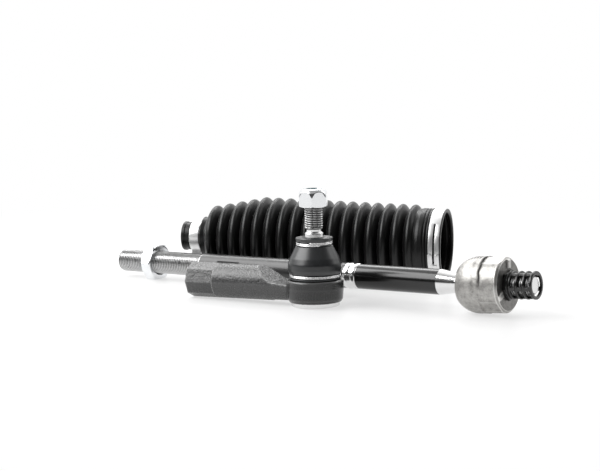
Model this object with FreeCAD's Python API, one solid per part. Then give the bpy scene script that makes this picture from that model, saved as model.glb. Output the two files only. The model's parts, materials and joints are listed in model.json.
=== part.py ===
import FreeCAD, Part
import math
import os

"""A car's tie rod as it comes in its box: the tie rod end, the axial rod and the rack bellows.

Millimetres, +Z up. Each group is drawn in its own frame and then set down where it lies:
the tie rod end with its stud upright and its arm along -X, the axial rod with the middle of
its ball at the origin and its shaft along -X, and the bellows with the middle of its wide
mouth at the origin and its folds along -X.
"""

os.makedirs("parts", exist_ok=True)

# Clearances between pieces that turn or slide in each other, and round soft pieces
running_gap = 0.05
seat_gap = 0.15
soft_gap = 0.3

# How far a cutting shape runs past the solid it cuts, and the softened edge of a thin ring
cut_over = 1.0
ring_edge = 0.3

# Tie rod end: closing plate and ball housing
plate_radius = 16.0
plate_thickness = 3.6
plate_edge = 0.6
rim_height = 2.8
rim_wall = 1.0
cup_radius = 18.9
cup_low_radius = 18.2
cup_low_height = 4.8
cup_full_height = 12.0
cup_top = 17.6
cup_top_round = 1.4
collar_wall = 3.05
collar_top = 22.3

# Tie rod end: ball, seat and stud
ball_radius = 10.5
ball_height = 15.0
ball_flat = 0.8
seat_wall = 1.95
seat_hole = 4.0
lip_angle = 57.0
neck_radius = 5.25
neck_length = 3.4
taper_start = 31.5
taper_end = 48.2
shank_radius = 6.1
taper_slope = 0.05
undercut_radius = 4.9
undercut_start = 49.4
undercut_length = 1.3
stud_thread_radius = 6.0
stud_top = 73.6
thread_chamfer = 0.8

# Tie rod end: arm with its clamping barrel and octagon
arm_height = 14.0
arm_reach = 93.0
octagon_flats = 22.0
octagon_length = 20.5
barrel_half_height = 11.7
barrel_half_width = 12.3
slope_top = 41.5
slope_foot = 28.7
web_rise = 1.7
web_fall = 0.0
relief_start = 29.5
relief_height = 3.4
relief_slope = 1.0
socket_radius = 7.19
socket_depth = 45.0
socket_chamfer = 0.9
drill_angle = 118.0

# Tie rod end: boot and its two rings
boot_base = 18.0
boot_flange_radius = 16.9
boot_flange = 1.1
boot_groove_radius = 15.9
base_ring_height = 1.9
base_ring_radius = 17.0
bulge_radius = 17.9
bulge_height = 26.0
waist_radius = 17.3
waist_height = 30.0
shoulder_radius = 12.3
shoulder_height = 39.8
neck_groove_radius = 11.0
neck_rise = 0.3
top_ring_height = 1.9
top_ring_radius = 12.0
lip_radius = 12.3
lip_rise = 0.9
lip_height = 2.3
lip_recess = 1.8
lip_rim = 1.6
boot_wall = 1.6

# Stud nut
nut_flats = 18.0
nut_height = 12.0
nut_seat = 65.6
nut_foot_chamfer = 0.8
crown_start = 6.4
crown_radius = 7.6
crown_bulge = 9.7
crown_swell = 0.6
insert_start = 8.45
insert_height = 2.9
insert_radius = 7.1
insert_lip = 6.6
nut_turn = 9.0

# Axial rod, measured back from the middle of its ball
rod_length = 298.1
rod_thread_radius = 8.0
rod_thread_length = 72.9
rod_tip_chamfer = 1.5
shaft_radius = 8.5
wrench_start = 56.1
wrench_length = 20.0
wrench_flats = 14.0
ring_zone_start = 102.8
ring_zone_end = 92.8
ring_zone_radius = 8.25
bead_count = 2
bead_width = 3.4
bead_pitch = 5.4
bead_rise = 0.45
coat_radius = 8.45
taper_from = 30.0
taper_to = 17.3
rod_neck_radius = 6.2
rod_throat_radius = 5.95
rod_ball_radius = 13.0

# Lock nut on the rod's thread
lock_nut_flats = 24.0
lock_nut_thickness = 8.0
lock_nut_face = 264.4
lock_nut_chamfer = 1.0

# Axial joint housing, measured out from the middle of the ball
housing_radius = 18.6
inner_seat_wall = 1.9
mouth_angle = 46.5
mouth_flare = 5.5
seat_mouth_angle = 56.0
dome_end = 2.0
barrel_radius = 18.2
barrel_start = 6.4
forging_step = 0.4
housing_length = 19.2
face_chamfer = 1.4
flat_distance = 17.5
flat_start = 5.0
flat_count = 3
flat_angle = 72.5
rib_height = 1.1
rib_width = 3.8
rib_inner_radius = 10.9
rib_angle = 94.0
pin_radius = 7.0
pin_length = 18.8
pin_end_radius = 5.3
housing_swing = 2.0
housing_lift = 2.7

# Thread protector on the rack pin
protector_radius = 9.2
protector_length = 20.0
protector_flats = 18.0
protector_flange = 2.0
window_count = 5
window_bar = 2.6
window_length = 3.4
window_rows = 3
window_pitch = 5.0
first_window = 4.9
window_angle = 12.0
protector_rib = 0.35

# Bellows, measured back from its wide mouth
bellows_length = 193.6
bellows_wall = 1.3
mouth_radius = 25.3
mouth_lip = 0.7
mouth_bore = 22.6
large_groove_radius = 24.3
shoulder_at = 16.4
fold_count = 17
last_fold = 22.9
fold_pitch = 9.14
widest_fold = 4
first_fold_radius = 22.5
widest_fold_radius = 29.7
last_fold_radius = 27.6
fold_depth = 6.6
crest_half = 2.1
crest_drop = 1.2
cone_radius = 14.4
cone_length = 1.9
cone_dip = 0.8
cone_run = 3.6
small_end_radius = 10.4
small_lip = 2.6
small_collar_radius = 9.9
small_collar_length = 3.4
small_groove_radius = 9.4
small_bore = 8.3

# Bellows clamps
large_clamp_width = 8.0
large_clamp_thickness = 0.8
slot_width = 1.4
slot_high = 42.0
slot_low = -25.0
overlap_high = -9.0
overlap_low = -78.0
hook_width = 4.6
hook_high = -26.0
hook_low = -36.0
small_clamp_width = 7.2
small_clamp_thickness = 0.7
ear_length = 6.4
ear_height = 2.6
ear_inset = 0.5
ear_angle = -85.0

# How the three groups lie: turned about Z, with the middle of each group's frame
end_turn = 7.4
rod_middle = (104.2, 37.3)
bellows_middle = (28.7, 122.2)
bellows_turn = 19.1


def point(radius, height):
    return FreeCAD.Vector(radius, 0, height)


class Outline:
    """A closed outline in the radius and height plane, drawn point by point."""

    def __init__(self, radius, height):
        self.first = point(radius, height)
        self.last = self.first
        self.edges = []

    def line(self, radius, height):
        end = point(radius, height)
        self.edges.append(Part.LineSegment(self.last, end).toShape())
        self.last = end
        return self

    def arc(self, through_radius, through_height, radius, height):
        through = point(through_radius, through_height)
        end = point(radius, height)
        self.edges.append(Part.Arc(self.last, through, end).toShape())
        self.last = end
        return self

    def turned(self):
        """The solid of revolution about Z."""
        if self.last.distanceToPoint(self.first) > 1e-6:
            self.line(self.first.x, self.first.z)
        face = Part.Face(Part.Wire(self.edges))
        return face.revolve(FreeCAD.Vector(), FreeCAD.Vector(0, 0, 1), 360)


def on_sphere(radius, height, angle):
    """Radius and height of the point of a sphere that lies at this angle from its upper pole."""
    turn = math.radians(angle)
    return radius * math.sin(turn), height + radius * math.cos(turn)


def along_x(shape):
    """Lay a solid drawn about Z along +X."""
    laid = shape.copy()
    laid.rotate(FreeCAD.Vector(), FreeCAD.Vector(0, 1, 0), 90)
    return laid


def prism(corners, start, length):
    """A prism along Z from corner points in the XY plane."""
    points = [FreeCAD.Vector(x, y, start) for x, y in corners]
    face = Part.Face(Part.makePolygon(points + points[:1]))
    return face.extrude(FreeCAD.Vector(0, 0, length))


def regular(count, flats, turn):
    """Corners of a regular polygon, from its width across flats and its first corner's angle."""
    corner = flats / 2 / math.cos(math.pi / count)
    angles = [math.radians(turn + 360 * k / count) for k in range(count)]
    return [(corner * math.cos(a), corner * math.sin(a)) for a in angles]


def side_slab(corners, half_width):
    """A slab of this half width across Y, from corner points in the XZ plane."""
    points = [FreeCAD.Vector(x, -half_width, z) for x, z in corners]
    face = Part.Face(Part.makePolygon(points + points[:1]))
    return face.extrude(FreeCAD.Vector(0, 2 * half_width, 0))


def around_x(shape, angle):
    """Turn a solid about X: 0 degrees faces -Y and 90 degrees faces +Z."""
    turned = shape.copy()
    turned.rotate(FreeCAD.Vector(), FreeCAD.Vector(1, 0, 0), -angle)
    return turned


cavity_radius = ball_radius + running_gap + seat_wall + running_gap
collar_flare, _ = on_sphere((collar_top - ball_height) / math.cos(math.radians(lip_angle)), 0, lip_angle)
collar_radius = collar_flare + collar_wall
octagon_corner = octagon_flats / 2 / math.cos(math.pi / 8)
foot_radius = plate_radius - plate_edge
neck_groove_start = shoulder_height + neck_rise
neck_groove_end = neck_groove_start + top_ring_height + soft_gap
lip_start = neck_groove_end + lip_rise
lip_top = lip_start + lip_height
end_tilt = math.degrees(math.atan((arm_height - octagon_corner) / (arm_reach - foot_radius)))


def cover_plate():
    outline = Outline(0, 0)
    outline.line(foot_radius, 0)
    outline.line(plate_radius, plate_edge)
    outline.line(plate_radius, plate_thickness)
    outline.line(0, plate_thickness)
    return outline.turned()


def cup():
    """The ball housing's round body, still without its hollow."""
    corner = 1 - math.sqrt(0.5)
    outline = Outline(0, rim_height)
    outline.line(plate_radius + rim_wall, rim_height)
    outline.line(cup_low_radius, cup_low_height)
    outline.line(cup_radius, cup_full_height)
    outline.line(cup_radius, cup_top - cup_top_round)
    outline.arc(
        cup_radius - cup_top_round * corner,
        cup_top - cup_top_round * corner,
        cup_radius - cup_top_round,
        cup_top,
    )
    outline.line(collar_radius, cup_top)
    outline.line(collar_radius, collar_top)
    outline.line(0, collar_top)
    return outline.turned()


def cup_hollow():
    """Recess for the plate, bore and sphere for the ball seat, and the flare that the stud swings in."""
    lip_radius_inner, lip_height = on_sphere(cavity_radius, ball_height, lip_angle)
    via_radius, via_height = on_sphere(cavity_radius, ball_height, (90 + lip_angle) / 2)
    flare_length = (collar_top + cut_over - ball_height) / math.cos(math.radians(lip_angle))
    flare_radius, flare_height = on_sphere(flare_length, ball_height, lip_angle)
    outline = Outline(0, rim_height - cut_over)
    outline.line(plate_radius, rim_height - cut_over)
    outline.line(plate_radius, plate_thickness)
    outline.line(cavity_radius, plate_thickness)
    outline.line(cavity_radius, ball_height)
    outline.arc(via_radius, via_height, lip_radius_inner, lip_height)
    outline.line(flare_radius, flare_height)
    outline.line(0, flare_height)
    return outline.turned()


def barrel():
    """The arm: two flat arcs that meet at the forging's parting line, cut down to a web by the cup."""
    left = FreeCAD.Vector(-arm_reach + octagon_length, -barrel_half_width, arm_height)
    right = FreeCAD.Vector(-arm_reach + octagon_length, barrel_half_width, arm_height)
    top = FreeCAD.Vector(-arm_reach + octagon_length, 0, arm_height + barrel_half_height)
    low = FreeCAD.Vector(-arm_reach + octagon_length, 0, arm_height - barrel_half_height)
    upper = Part.Arc(left, top, right).toShape()
    lower = Part.Arc(right, low, left).toShape()
    face = Part.Face(Part.Wire([upper, lower]))
    arm = face.extrude(FreeCAD.Vector(arm_reach - octagon_length - cavity_radius, 0, 0))
    over = arm_height + 2 * barrel_half_height
    web_height = arm_height + web_rise
    above = side_slab(
        [
            (-slope_top, arm_height + barrel_half_height),
            (-slope_foot, web_height),
            (-cavity_radius, arm_height + web_fall),
            (over, arm_height + web_fall),
            (over, over),
            (-slope_top, over),
        ],
        over,
    )
    below = side_slab(
        [
            (-relief_start - relief_slope, -over),
            (-relief_start - relief_slope, arm_height - barrel_half_height),
            (-relief_start, relief_height),
            (over, relief_height),
            (over, -over),
        ],
        over,
    )
    return arm.cut(above).cut(below)


def octagon():
    corners = regular(8, octagon_flats, 0)
    block = along_x(prism(corners, 0, octagon_length))
    block.translate(FreeCAD.Vector(-arm_reach, 0, arm_height))
    return block


def socket():
    """The female thread's core, drilled in from the octagon's end."""
    point_length = socket_radius / math.tan(math.radians(drill_angle / 2))
    outline = Outline(0, -cut_over)
    outline.line(socket_radius + socket_chamfer + cut_over, -cut_over)
    outline.line(socket_radius, socket_chamfer)
    outline.line(socket_radius, socket_depth)
    outline.line(0, socket_depth + point_length)
    hole = along_x(outline.turned())
    hole.translate(FreeCAD.Vector(-arm_reach, 0, arm_height))
    return hole


def tie_rod_end_housing():
    body = cup().fuse(barrel()).fuse(octagon())
    return body.cut(cup_hollow()).cut(socket()).removeSplitter()


def ball_seat():
    inner = ball_radius + running_gap
    outer = cavity_radius - running_gap
    middle_angle = (90 + lip_angle) / 2
    hole_angle = 180 - math.degrees(math.asin(seat_hole / inner))
    hole_radius, hole_height = on_sphere(inner, ball_height, hole_angle)
    outline = Outline(seat_hole, plate_thickness + seat_gap)
    outline.line(outer, plate_thickness + seat_gap)
    outline.line(outer, ball_height)
    outline.arc(*on_sphere(outer, ball_height, middle_angle), *on_sphere(outer, ball_height, lip_angle))
    outline.line(*on_sphere(inner, ball_height, lip_angle))
    outline.arc(*on_sphere(inner, ball_height, (lip_angle + hole_angle) / 2), hole_radius, hole_height)
    return outline.turned()


def ball_stud():
    neck_angle = math.degrees(math.asin(neck_radius / ball_radius))
    neck_start = ball_height + ball_radius * math.cos(math.radians(neck_angle))
    flat_height = ball_height - ball_radius + ball_flat
    flat_angle_low = 180 - math.degrees(math.acos(1 - ball_flat / ball_radius))
    taper_radius = shank_radius + (taper_end - taper_start) * taper_slope
    undercut_end = undercut_start + undercut_length
    outline = Outline(0, flat_height)
    outline.line(*on_sphere(ball_radius, ball_height, flat_angle_low))
    outline.arc(
        *on_sphere(ball_radius, ball_height, (neck_angle + flat_angle_low) / 2),
        *on_sphere(ball_radius, ball_height, neck_angle),
    )
    outline.line(neck_radius, neck_start + neck_length)
    outline.line(taper_radius, taper_start)
    outline.line(shank_radius, taper_end)
    outline.line(undercut_radius, undercut_start)
    outline.line(undercut_radius, undercut_end)
    outline.line(stud_thread_radius, undercut_end + thread_chamfer)
    outline.line(stud_thread_radius, stud_top - thread_chamfer)
    outline.line(stud_thread_radius - thread_chamfer, stud_top)
    outline.line(0, stud_top)
    return outline.turned()


def dust_boot():
    """Rubber bellows of one bulge, grooved for a ring at its foot and one at its neck."""
    base_inner = collar_radius + soft_gap
    groove_start = boot_base + boot_flange
    groove_end = groove_start + base_ring_height + soft_gap / 2
    bore = shank_radius + (taper_end - neck_groove_start) * taper_slope + soft_gap
    recess = lip_top - lip_recess
    outline = Outline(base_inner, boot_base)
    outline.line(boot_flange_radius, boot_base)
    outline.line(boot_flange_radius, groove_start)
    outline.line(boot_groove_radius, groove_start)
    outline.line(boot_groove_radius, groove_end)
    outline.arc(bulge_radius, bulge_height, waist_radius, waist_height)
    outline.line(shoulder_radius, shoulder_height)
    outline.line(neck_groove_radius, neck_groove_start)
    outline.line(neck_groove_radius, neck_groove_end)
    outline.line(lip_radius, lip_start)
    outline.line(lip_radius, lip_top)
    outline.line(lip_radius - lip_rim, lip_top)
    outline.line(lip_radius - lip_rim - lip_recess, recess)
    outline.line(bore, recess)
    outline.line(bore, neck_groove_start)
    outline.line(shoulder_radius - boot_wall, shoulder_height - boot_wall)
    outline.line(waist_radius - boot_wall, waist_height)
    outline.arc(bulge_radius - boot_wall, bulge_height, base_inner, groove_end)
    return outline.turned()


def band(inner, outer, height, start):
    """A plain ring about Z with softened outer edges."""
    edge = min(ring_edge, (outer - inner) / 3)
    outline = Outline(inner, start)
    outline.line(outer - edge, start)
    outline.line(outer, start + edge)
    outline.line(outer, start + height - edge)
    outline.line(outer - edge, start + height)
    outline.line(inner, start + height)
    return outline.turned()


def boot_base_ring():
    return band(boot_groove_radius + soft_gap, base_ring_radius, base_ring_height, boot_base + boot_flange)


def boot_top_ring():
    start = neck_groove_start + soft_gap / 2
    return band(neck_groove_radius + soft_gap, top_ring_radius, top_ring_height, start)


def nut_shape(flats, height, outline, turn):
    """A hexagon that a turned outline rounds off."""
    block = prism(regular(6, flats, turn), 0, height)
    return block.common(outline.turned())


def stud_nut():
    corner = nut_flats / math.sqrt(3)
    outline = Outline(0, 0)
    outline.line(corner - 2 * nut_foot_chamfer, 0)
    outline.line(corner, nut_foot_chamfer)
    outline.line(corner, crown_start)
    outline.arc((corner + crown_radius) / 2 + crown_swell, crown_bulge, crown_radius, nut_height)
    outline.line(0, nut_height)
    hollow = Outline(0, -cut_over)
    hollow.line(stud_thread_radius + running_gap, -cut_over)
    hollow.line(stud_thread_radius + running_gap, insert_start)
    hollow.line(insert_radius, insert_start)
    hollow.line(insert_radius, insert_start + insert_height)
    hollow.line(insert_lip, insert_start + insert_height)
    hollow.line(insert_lip, nut_height + cut_over)
    hollow.line(0, nut_height + cut_over)
    nut = nut_shape(nut_flats, nut_height, outline, nut_turn).cut(hollow.turned())
    nut.translate(FreeCAD.Vector(0, 0, nut_seat))
    return nut


def stud_nut_insert():
    inner = stud_thread_radius + running_gap
    ring = band(inner, insert_radius - running_gap, insert_height - 2 * running_gap, 0)
    ring.translate(FreeCAD.Vector(0, 0, nut_seat + insert_start + running_gap))
    return ring


def axial_rod():
    """Thread, wrench flats, bright zone with two rounded beads, coated shaft, taper and ball."""
    throat_angle = 180 - math.degrees(math.asin(rod_throat_radius / rod_ball_radius))
    throat = on_sphere(rod_ball_radius, 0, throat_angle)
    thread_end = -rod_length + rod_thread_length
    outline = Outline(0, -rod_length)
    outline.line(rod_thread_radius - rod_tip_chamfer, -rod_length)
    outline.line(rod_thread_radius, -rod_length + rod_tip_chamfer)
    outline.line(rod_thread_radius, thread_end)
    outline.line(shaft_radius, thread_end + shaft_radius - rod_thread_radius)
    outline.line(shaft_radius, -ring_zone_start)
    outline.line(ring_zone_radius, -ring_zone_start)
    for k in reversed(range(bead_count)):
        bead_end = -ring_zone_end - soft_gap - k * bead_pitch
        outline.line(ring_zone_radius, bead_end - bead_width)
        outline.arc(ring_zone_radius + bead_rise, bead_end - bead_width / 2, ring_zone_radius, bead_end)
    outline.line(ring_zone_radius, -ring_zone_end)
    outline.line(coat_radius, -ring_zone_end)
    outline.line(coat_radius, -taper_from)
    outline.line(rod_neck_radius, -taper_to)
    outline.line(*throat)
    outline.arc(rod_ball_radius, 0, 0, rod_ball_radius)
    rod = along_x(outline.turned())
    flats_at = wrench_start - lock_nut_face
    for side in (-1, 1):
        cutter = Part.makeBox(wrench_length, shaft_radius, 4 * shaft_radius)
        offset = wrench_flats / 2 if side > 0 else -wrench_flats / 2 - shaft_radius
        cutter.translate(FreeCAD.Vector(flats_at, offset, -2 * shaft_radius))
        rod = rod.cut(cutter)
    return rod


def rod_lock_nut():
    corner = lock_nut_flats / math.sqrt(3)
    outline = Outline(0, 0)
    outline.line(corner - 2 * lock_nut_chamfer, 0)
    outline.line(corner, lock_nut_chamfer)
    outline.line(corner, lock_nut_thickness - lock_nut_chamfer)
    outline.line(corner - 2 * lock_nut_chamfer, lock_nut_thickness)
    outline.line(0, lock_nut_thickness)
    block = nut_shape(lock_nut_flats, lock_nut_thickness, outline, 90)
    hole = Part.makeCylinder(rod_thread_radius + running_gap, lock_nut_thickness)
    nut = along_x(block.cut(hole))
    nut.translate(FreeCAD.Vector(-lock_nut_face - lock_nut_thickness, 0, 0))
    return nut


def axial_ball_seat():
    inner = rod_ball_radius + running_gap
    outer = inner + inner_seat_wall
    open_angle = 180 - seat_mouth_angle
    outline = Outline(0, outer)
    outline.arc(*on_sphere(outer, 0, open_angle / 2), *on_sphere(outer, 0, open_angle))
    outline.line(*on_sphere(inner, 0, open_angle))
    outline.arc(*on_sphere(inner, 0, open_angle / 2), 0, inner)
    return along_x(outline.turned())


def axial_housing():
    """Forged ball housing: dome, turned barrel with three flats, three ribs on its face, rack pin."""
    cavity = rod_ball_radius + 2 * running_gap + inner_seat_wall
    open_angle = 180 - mouth_angle
    inner_angle = open_angle - mouth_flare
    rib_top = housing_length + rib_height
    chamfer = face_chamfer + rib_height
    pin_end = housing_length + pin_length
    dome_radius = math.sqrt(housing_radius**2 - dome_end**2)
    outline = Outline(*on_sphere(cavity, 0, inner_angle))
    outline.line(*on_sphere(housing_radius, 0, open_angle))
    outline.arc(*on_sphere(housing_radius, 0, (open_angle + 90) / 2), dome_radius, dome_end)
    outline.line(barrel_radius + forging_step, barrel_start - forging_step)
    outline.line(barrel_radius, barrel_start)
    outline.line(barrel_radius, rib_top - chamfer)
    outline.line(barrel_radius - chamfer, rib_top)
    outline.line(pin_radius, rib_top)
    outline.line(pin_radius, pin_end - pin_radius + pin_end_radius)
    outline.line(pin_end_radius, pin_end)
    outline.line(0, pin_end)
    outline.line(0, cavity)
    outline.arc(*on_sphere(cavity, 0, inner_angle / 2), *on_sphere(cavity, 0, inner_angle))
    body = along_x(outline.turned())
    pocket = Part.makeCylinder(housing_radius, rib_height).cut(Part.makeCylinder(pin_radius, rib_height))
    pocket = along_x(pocket)
    for k in range(flat_count):
        turn = 360 * k / flat_count
        flat = Part.makeBox(housing_length, housing_radius, 2 * housing_radius)
        flat.translate(FreeCAD.Vector(flat_start, -flat_distance - housing_radius, -housing_radius))
        body = body.cut(around_x(flat, flat_angle + turn))
        rib = Part.makeBox(rib_height, housing_radius - rib_inner_radius, rib_width)
        rib.translate(FreeCAD.Vector(0, -housing_radius, -rib_width / 2))
        pocket = pocket.cut(around_x(rib, rib_angle + turn))
    pocket.translate(FreeCAD.Vector(housing_length, 0, 0))
    return body.cut(pocket).removeSplitter()


def thread_protector():
    """Plastic cage on the rack pin: hexagonal foot, ribbed tube and rows of windows between bars."""
    inner = pin_radius + running_gap
    waist = protector_radius - protector_rib
    tube = Part.makeCylinder(waist, protector_length)
    foot = prism(regular(6, protector_flats, window_angle), 0, protector_flange)
    cage = tube.fuse(foot)
    for row in range(window_rows + 1):
        rib_from = first_window + row * window_pitch - (window_pitch - window_length)
        rib_to = min(rib_from + window_pitch - window_length, protector_length)
        if row == window_rows:
            rib_to = protector_length
        rib = band(waist / 2, protector_radius, rib_to - rib_from, rib_from)
        cage = cage.fuse(rib)
    cage = cage.cut(Part.makeCylinder(inner, protector_length))
    for row in range(window_rows):
        ring = Part.makeCylinder(protector_radius, window_length)
        for k in range(window_count):
            bar = Part.makeBox(protector_radius, window_bar, window_length)
            bar.translate(FreeCAD.Vector(0, -window_bar / 2, 0))
            bar.rotate(FreeCAD.Vector(), FreeCAD.Vector(0, 0, 1), 360 * k / window_count + window_angle)
            ring = ring.cut(bar)
        ring.translate(FreeCAD.Vector(0, 0, first_window + row * window_pitch))
        cage = cage.cut(ring)
    cage = around_x(along_x(cage), 90)
    cage.translate(FreeCAD.Vector(housing_length + seat_gap, 0, 0))
    return cage.removeSplitter()


def fold_radius(k):
    """Crest radius of fold k, counted from the small end: growing to the widest, then easing off."""
    if k <= widest_fold:
        return first_fold_radius + (widest_fold_radius - first_fold_radius) * k / widest_fold
    share = (k - widest_fold) / (fold_count - 1 - widest_fold)
    return widest_fold_radius + (last_fold_radius - widest_fold_radius) * share


def bellows():
    """Rubber gaiter of round folds between a narrow collar and a wide clamped mouth."""
    large_from = mouth_lip + soft_gap / 2
    large_to = large_from + large_clamp_width + soft_gap / 2
    small_from = bellows_length - small_lip - small_collar_length
    small_to = small_from - small_clamp_width - soft_gap
    cone_at = small_to - cone_length
    dip_radius = cone_radius - cone_dip
    outline = Outline(mouth_bore, 0)
    outline.line(mouth_radius, 0)
    outline.line(mouth_radius, -mouth_lip)
    outline.line(large_groove_radius, -mouth_lip)
    outline.line(large_groove_radius, -large_to)
    outline.line(mouth_radius, -large_to)
    outline.line(mouth_radius, -shoulder_at)
    crests = [(last_fold + fold_pitch * (fold_count - 1 - k), fold_radius(k)) for k in range(fold_count)]
    crests.reverse()
    for k, (at, radius) in enumerate(crests):
        low = radius - crest_drop
        outline.line(low, -at + crest_half)
        outline.arc(radius, -at, low, -at - crest_half)
        if k + 1 < fold_count:
            outline.line(min(radius, crests[k + 1][1]) - fold_depth, -at - fold_pitch / 2)
    outline.line(dip_radius, -cone_at + cone_run)
    outline.line(cone_radius, -cone_at)
    outline.line(small_groove_radius, -small_to)
    outline.line(small_groove_radius, -small_from)
    outline.line(small_collar_radius, -small_from)
    outline.line(small_collar_radius, -bellows_length + small_lip)
    outline.line(small_end_radius, -bellows_length + small_lip)
    outline.line(small_end_radius, -bellows_length)
    outline.line(small_bore, -bellows_length)
    outline.line(small_bore, -small_to)
    outline.line(dip_radius - bellows_wall, -cone_at)
    outline.line(dip_radius - bellows_wall, -cone_at + cone_run + cone_dip)
    for k, (at, radius) in reversed(list(enumerate(crests))):
        outline.line(radius - bellows_wall, -at)
        if k > 0:
            outline.line(min(radius, crests[k - 1][1]) - fold_depth - bellows_wall, -at + fold_pitch / 2)
    outline.line(mouth_bore, -large_to)
    return along_x(outline.turned())


def laid_sector(inner, outer, width, low, high):
    """A ring sector about X, from a low to a high angle, where 0 faces -Y and 90 faces +Z."""
    wedge = Part.makeCylinder(outer, width, FreeCAD.Vector(), FreeCAD.Vector(0, 0, 1), high - low)
    core = Part.makeCylinder(inner, width)
    return around_x(along_x(wedge.cut(core)), high + 90)


def bellows_large_clamp():
    """Spring-steel band lapped over itself, with a long slot and the hook that holds it shut."""
    start = -mouth_lip - soft_gap / 2 - large_clamp_width
    inner = large_groove_radius + soft_gap / 2
    outer = inner + large_clamp_thickness
    ring = along_x(band(inner, outer, large_clamp_width, 0))
    slot = laid_sector(inner / 2, 2 * outer, slot_width, slot_low, slot_high)
    slot.translate(FreeCAD.Vector((large_clamp_width - slot_width) / 2, 0, 0))
    lap = laid_sector(outer, outer + large_clamp_thickness, large_clamp_width, overlap_low, overlap_high)
    hook_outer = outer + 2 * large_clamp_thickness
    hook = laid_sector(outer, hook_outer, hook_width, hook_low, hook_high)
    hook.translate(FreeCAD.Vector((large_clamp_width - hook_width) / 2, 0, 0))
    clamp = ring.fuse(lap).cut(slot).fuse(hook).removeSplitter()
    clamp.translate(FreeCAD.Vector(start, 0, 0))
    return clamp


def bellows_small_clamp():
    """Crimped band with its ear."""
    start = -bellows_length + small_lip + small_collar_length + soft_gap / 2
    inner = small_groove_radius + soft_gap / 2
    outer = inner + small_clamp_thickness
    ring = along_x(band(inner, outer, small_clamp_width, 0))
    ear_width = small_clamp_width - 2 * ear_inset
    ear = Part.makeBox(ear_width, ear_height + small_clamp_thickness, ear_length)
    ear.translate(FreeCAD.Vector(ear_inset, -outer - ear_height, -ear_length / 2))
    core = Part.makeCylinder(inner, small_clamp_width, FreeCAD.Vector(), FreeCAD.Vector(1, 0, 0))
    clamp = ring.fuse(around_x(ear, ear_angle).cut(core)).removeSplitter()
    clamp.translate(FreeCAD.Vector(start, 0, 0))
    return clamp


def turn_about(axis, angle):
    return FreeCAD.Placement(FreeCAD.Vector(), FreeCAD.Rotation(FreeCAD.Vector(*axis), angle))


def shift(x, y, z):
    return FreeCAD.Placement(FreeCAD.Vector(x, y, z), FreeCAD.Rotation())


nut_rest = lock_nut_flats / 2
rod_tilt = math.degrees(
    math.asin((housing_radius - nut_rest) / (lock_nut_face + lock_nut_thickness))
)
end_frame = turn_about((0, 0, 1), end_turn) * shift(-foot_radius, 0, 0)
end_frame = end_frame * turn_about((0, 1, 0), -end_tilt) * shift(foot_radius, 0, 0)
rod_frame = shift(*rod_middle, housing_radius) * turn_about((0, 1, 0), -rod_tilt)
housing_frame = rod_frame * turn_about((0, 0, 1), housing_swing) * turn_about((0, 1, 0), -housing_lift)
bellows_frame = shift(*bellows_middle, widest_fold_radius) * turn_about((0, 0, 1), bellows_turn)

pieces = {
    "tie_rod_end_housing": (tie_rod_end_housing, end_frame),
    "cover_plate": (cover_plate, end_frame),
    "ball_seat": (ball_seat, end_frame),
    "ball_stud": (ball_stud, end_frame),
    "dust_boot": (dust_boot, end_frame),
    "boot_base_ring": (boot_base_ring, end_frame),
    "boot_top_ring": (boot_top_ring, end_frame),
    "stud_nut": (stud_nut, end_frame),
    "stud_nut_insert": (stud_nut_insert, end_frame),
    "axial_rod": (axial_rod, rod_frame),
    "rod_lock_nut": (rod_lock_nut, rod_frame),
    "axial_ball_seat": (axial_ball_seat, rod_frame),
    "axial_housing": (axial_housing, housing_frame),
    "thread_protector": (thread_protector, housing_frame),
    "bellows": (bellows, bellows_frame),
    "bellows_large_clamp": (bellows_large_clamp, bellows_frame),
    "bellows_small_clamp": (bellows_small_clamp, bellows_frame),
}


def set_down():
    """Every solid where it lies, with the origin on the floor under the middle of them all."""
    placed = {}
    box = FreeCAD.BoundBox()
    for node, (make, frame) in pieces.items():
        shape = make()
        shape.Placement = frame * shape.Placement
        placed[node] = shape
        box.add(shape.optimalBoundingBox(False, False))
    centring = shift(-box.Center.x, -box.Center.y, 0)
    for shape in placed.values():
        shape.Placement = centring * shape.Placement
    return placed, centring


solids, centring = set_down()
for node, shape in solids.items():
    shape.exportStep(f"parts/{node}.step")
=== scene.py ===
import json
import math

import bmesh
import bpy
import numpy as np
from mathutils import Matrix

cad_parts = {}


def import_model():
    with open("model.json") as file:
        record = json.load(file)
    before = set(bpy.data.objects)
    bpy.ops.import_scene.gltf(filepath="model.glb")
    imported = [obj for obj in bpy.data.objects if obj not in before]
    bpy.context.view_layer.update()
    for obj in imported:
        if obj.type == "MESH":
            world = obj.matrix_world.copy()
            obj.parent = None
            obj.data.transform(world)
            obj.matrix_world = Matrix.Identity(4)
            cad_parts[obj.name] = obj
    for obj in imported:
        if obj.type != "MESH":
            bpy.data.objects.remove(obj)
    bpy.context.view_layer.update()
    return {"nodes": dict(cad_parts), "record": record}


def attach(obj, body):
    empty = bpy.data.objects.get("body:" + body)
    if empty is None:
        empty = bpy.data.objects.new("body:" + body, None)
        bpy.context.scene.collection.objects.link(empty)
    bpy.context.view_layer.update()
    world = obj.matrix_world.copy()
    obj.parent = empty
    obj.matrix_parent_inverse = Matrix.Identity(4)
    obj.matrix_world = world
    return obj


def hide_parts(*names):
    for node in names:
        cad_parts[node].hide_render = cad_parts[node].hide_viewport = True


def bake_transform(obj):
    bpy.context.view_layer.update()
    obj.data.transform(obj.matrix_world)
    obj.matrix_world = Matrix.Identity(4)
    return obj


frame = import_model()

# Sizes are in millimetres in each group's own frame, and become metres when a mesh is made
MM = 0.001

# Where the photograph was taken from: the camera's place from the stud's foot, turned to the view
view_turn = math.radians(34.41)
view_dip = math.radians(7.27)
camera_side = -10.38
camera_back = -1285.9
camera_height = 211.1
focal_pixels = 1970.0
photo_width = 600
sensor_width = 36.0

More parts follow.
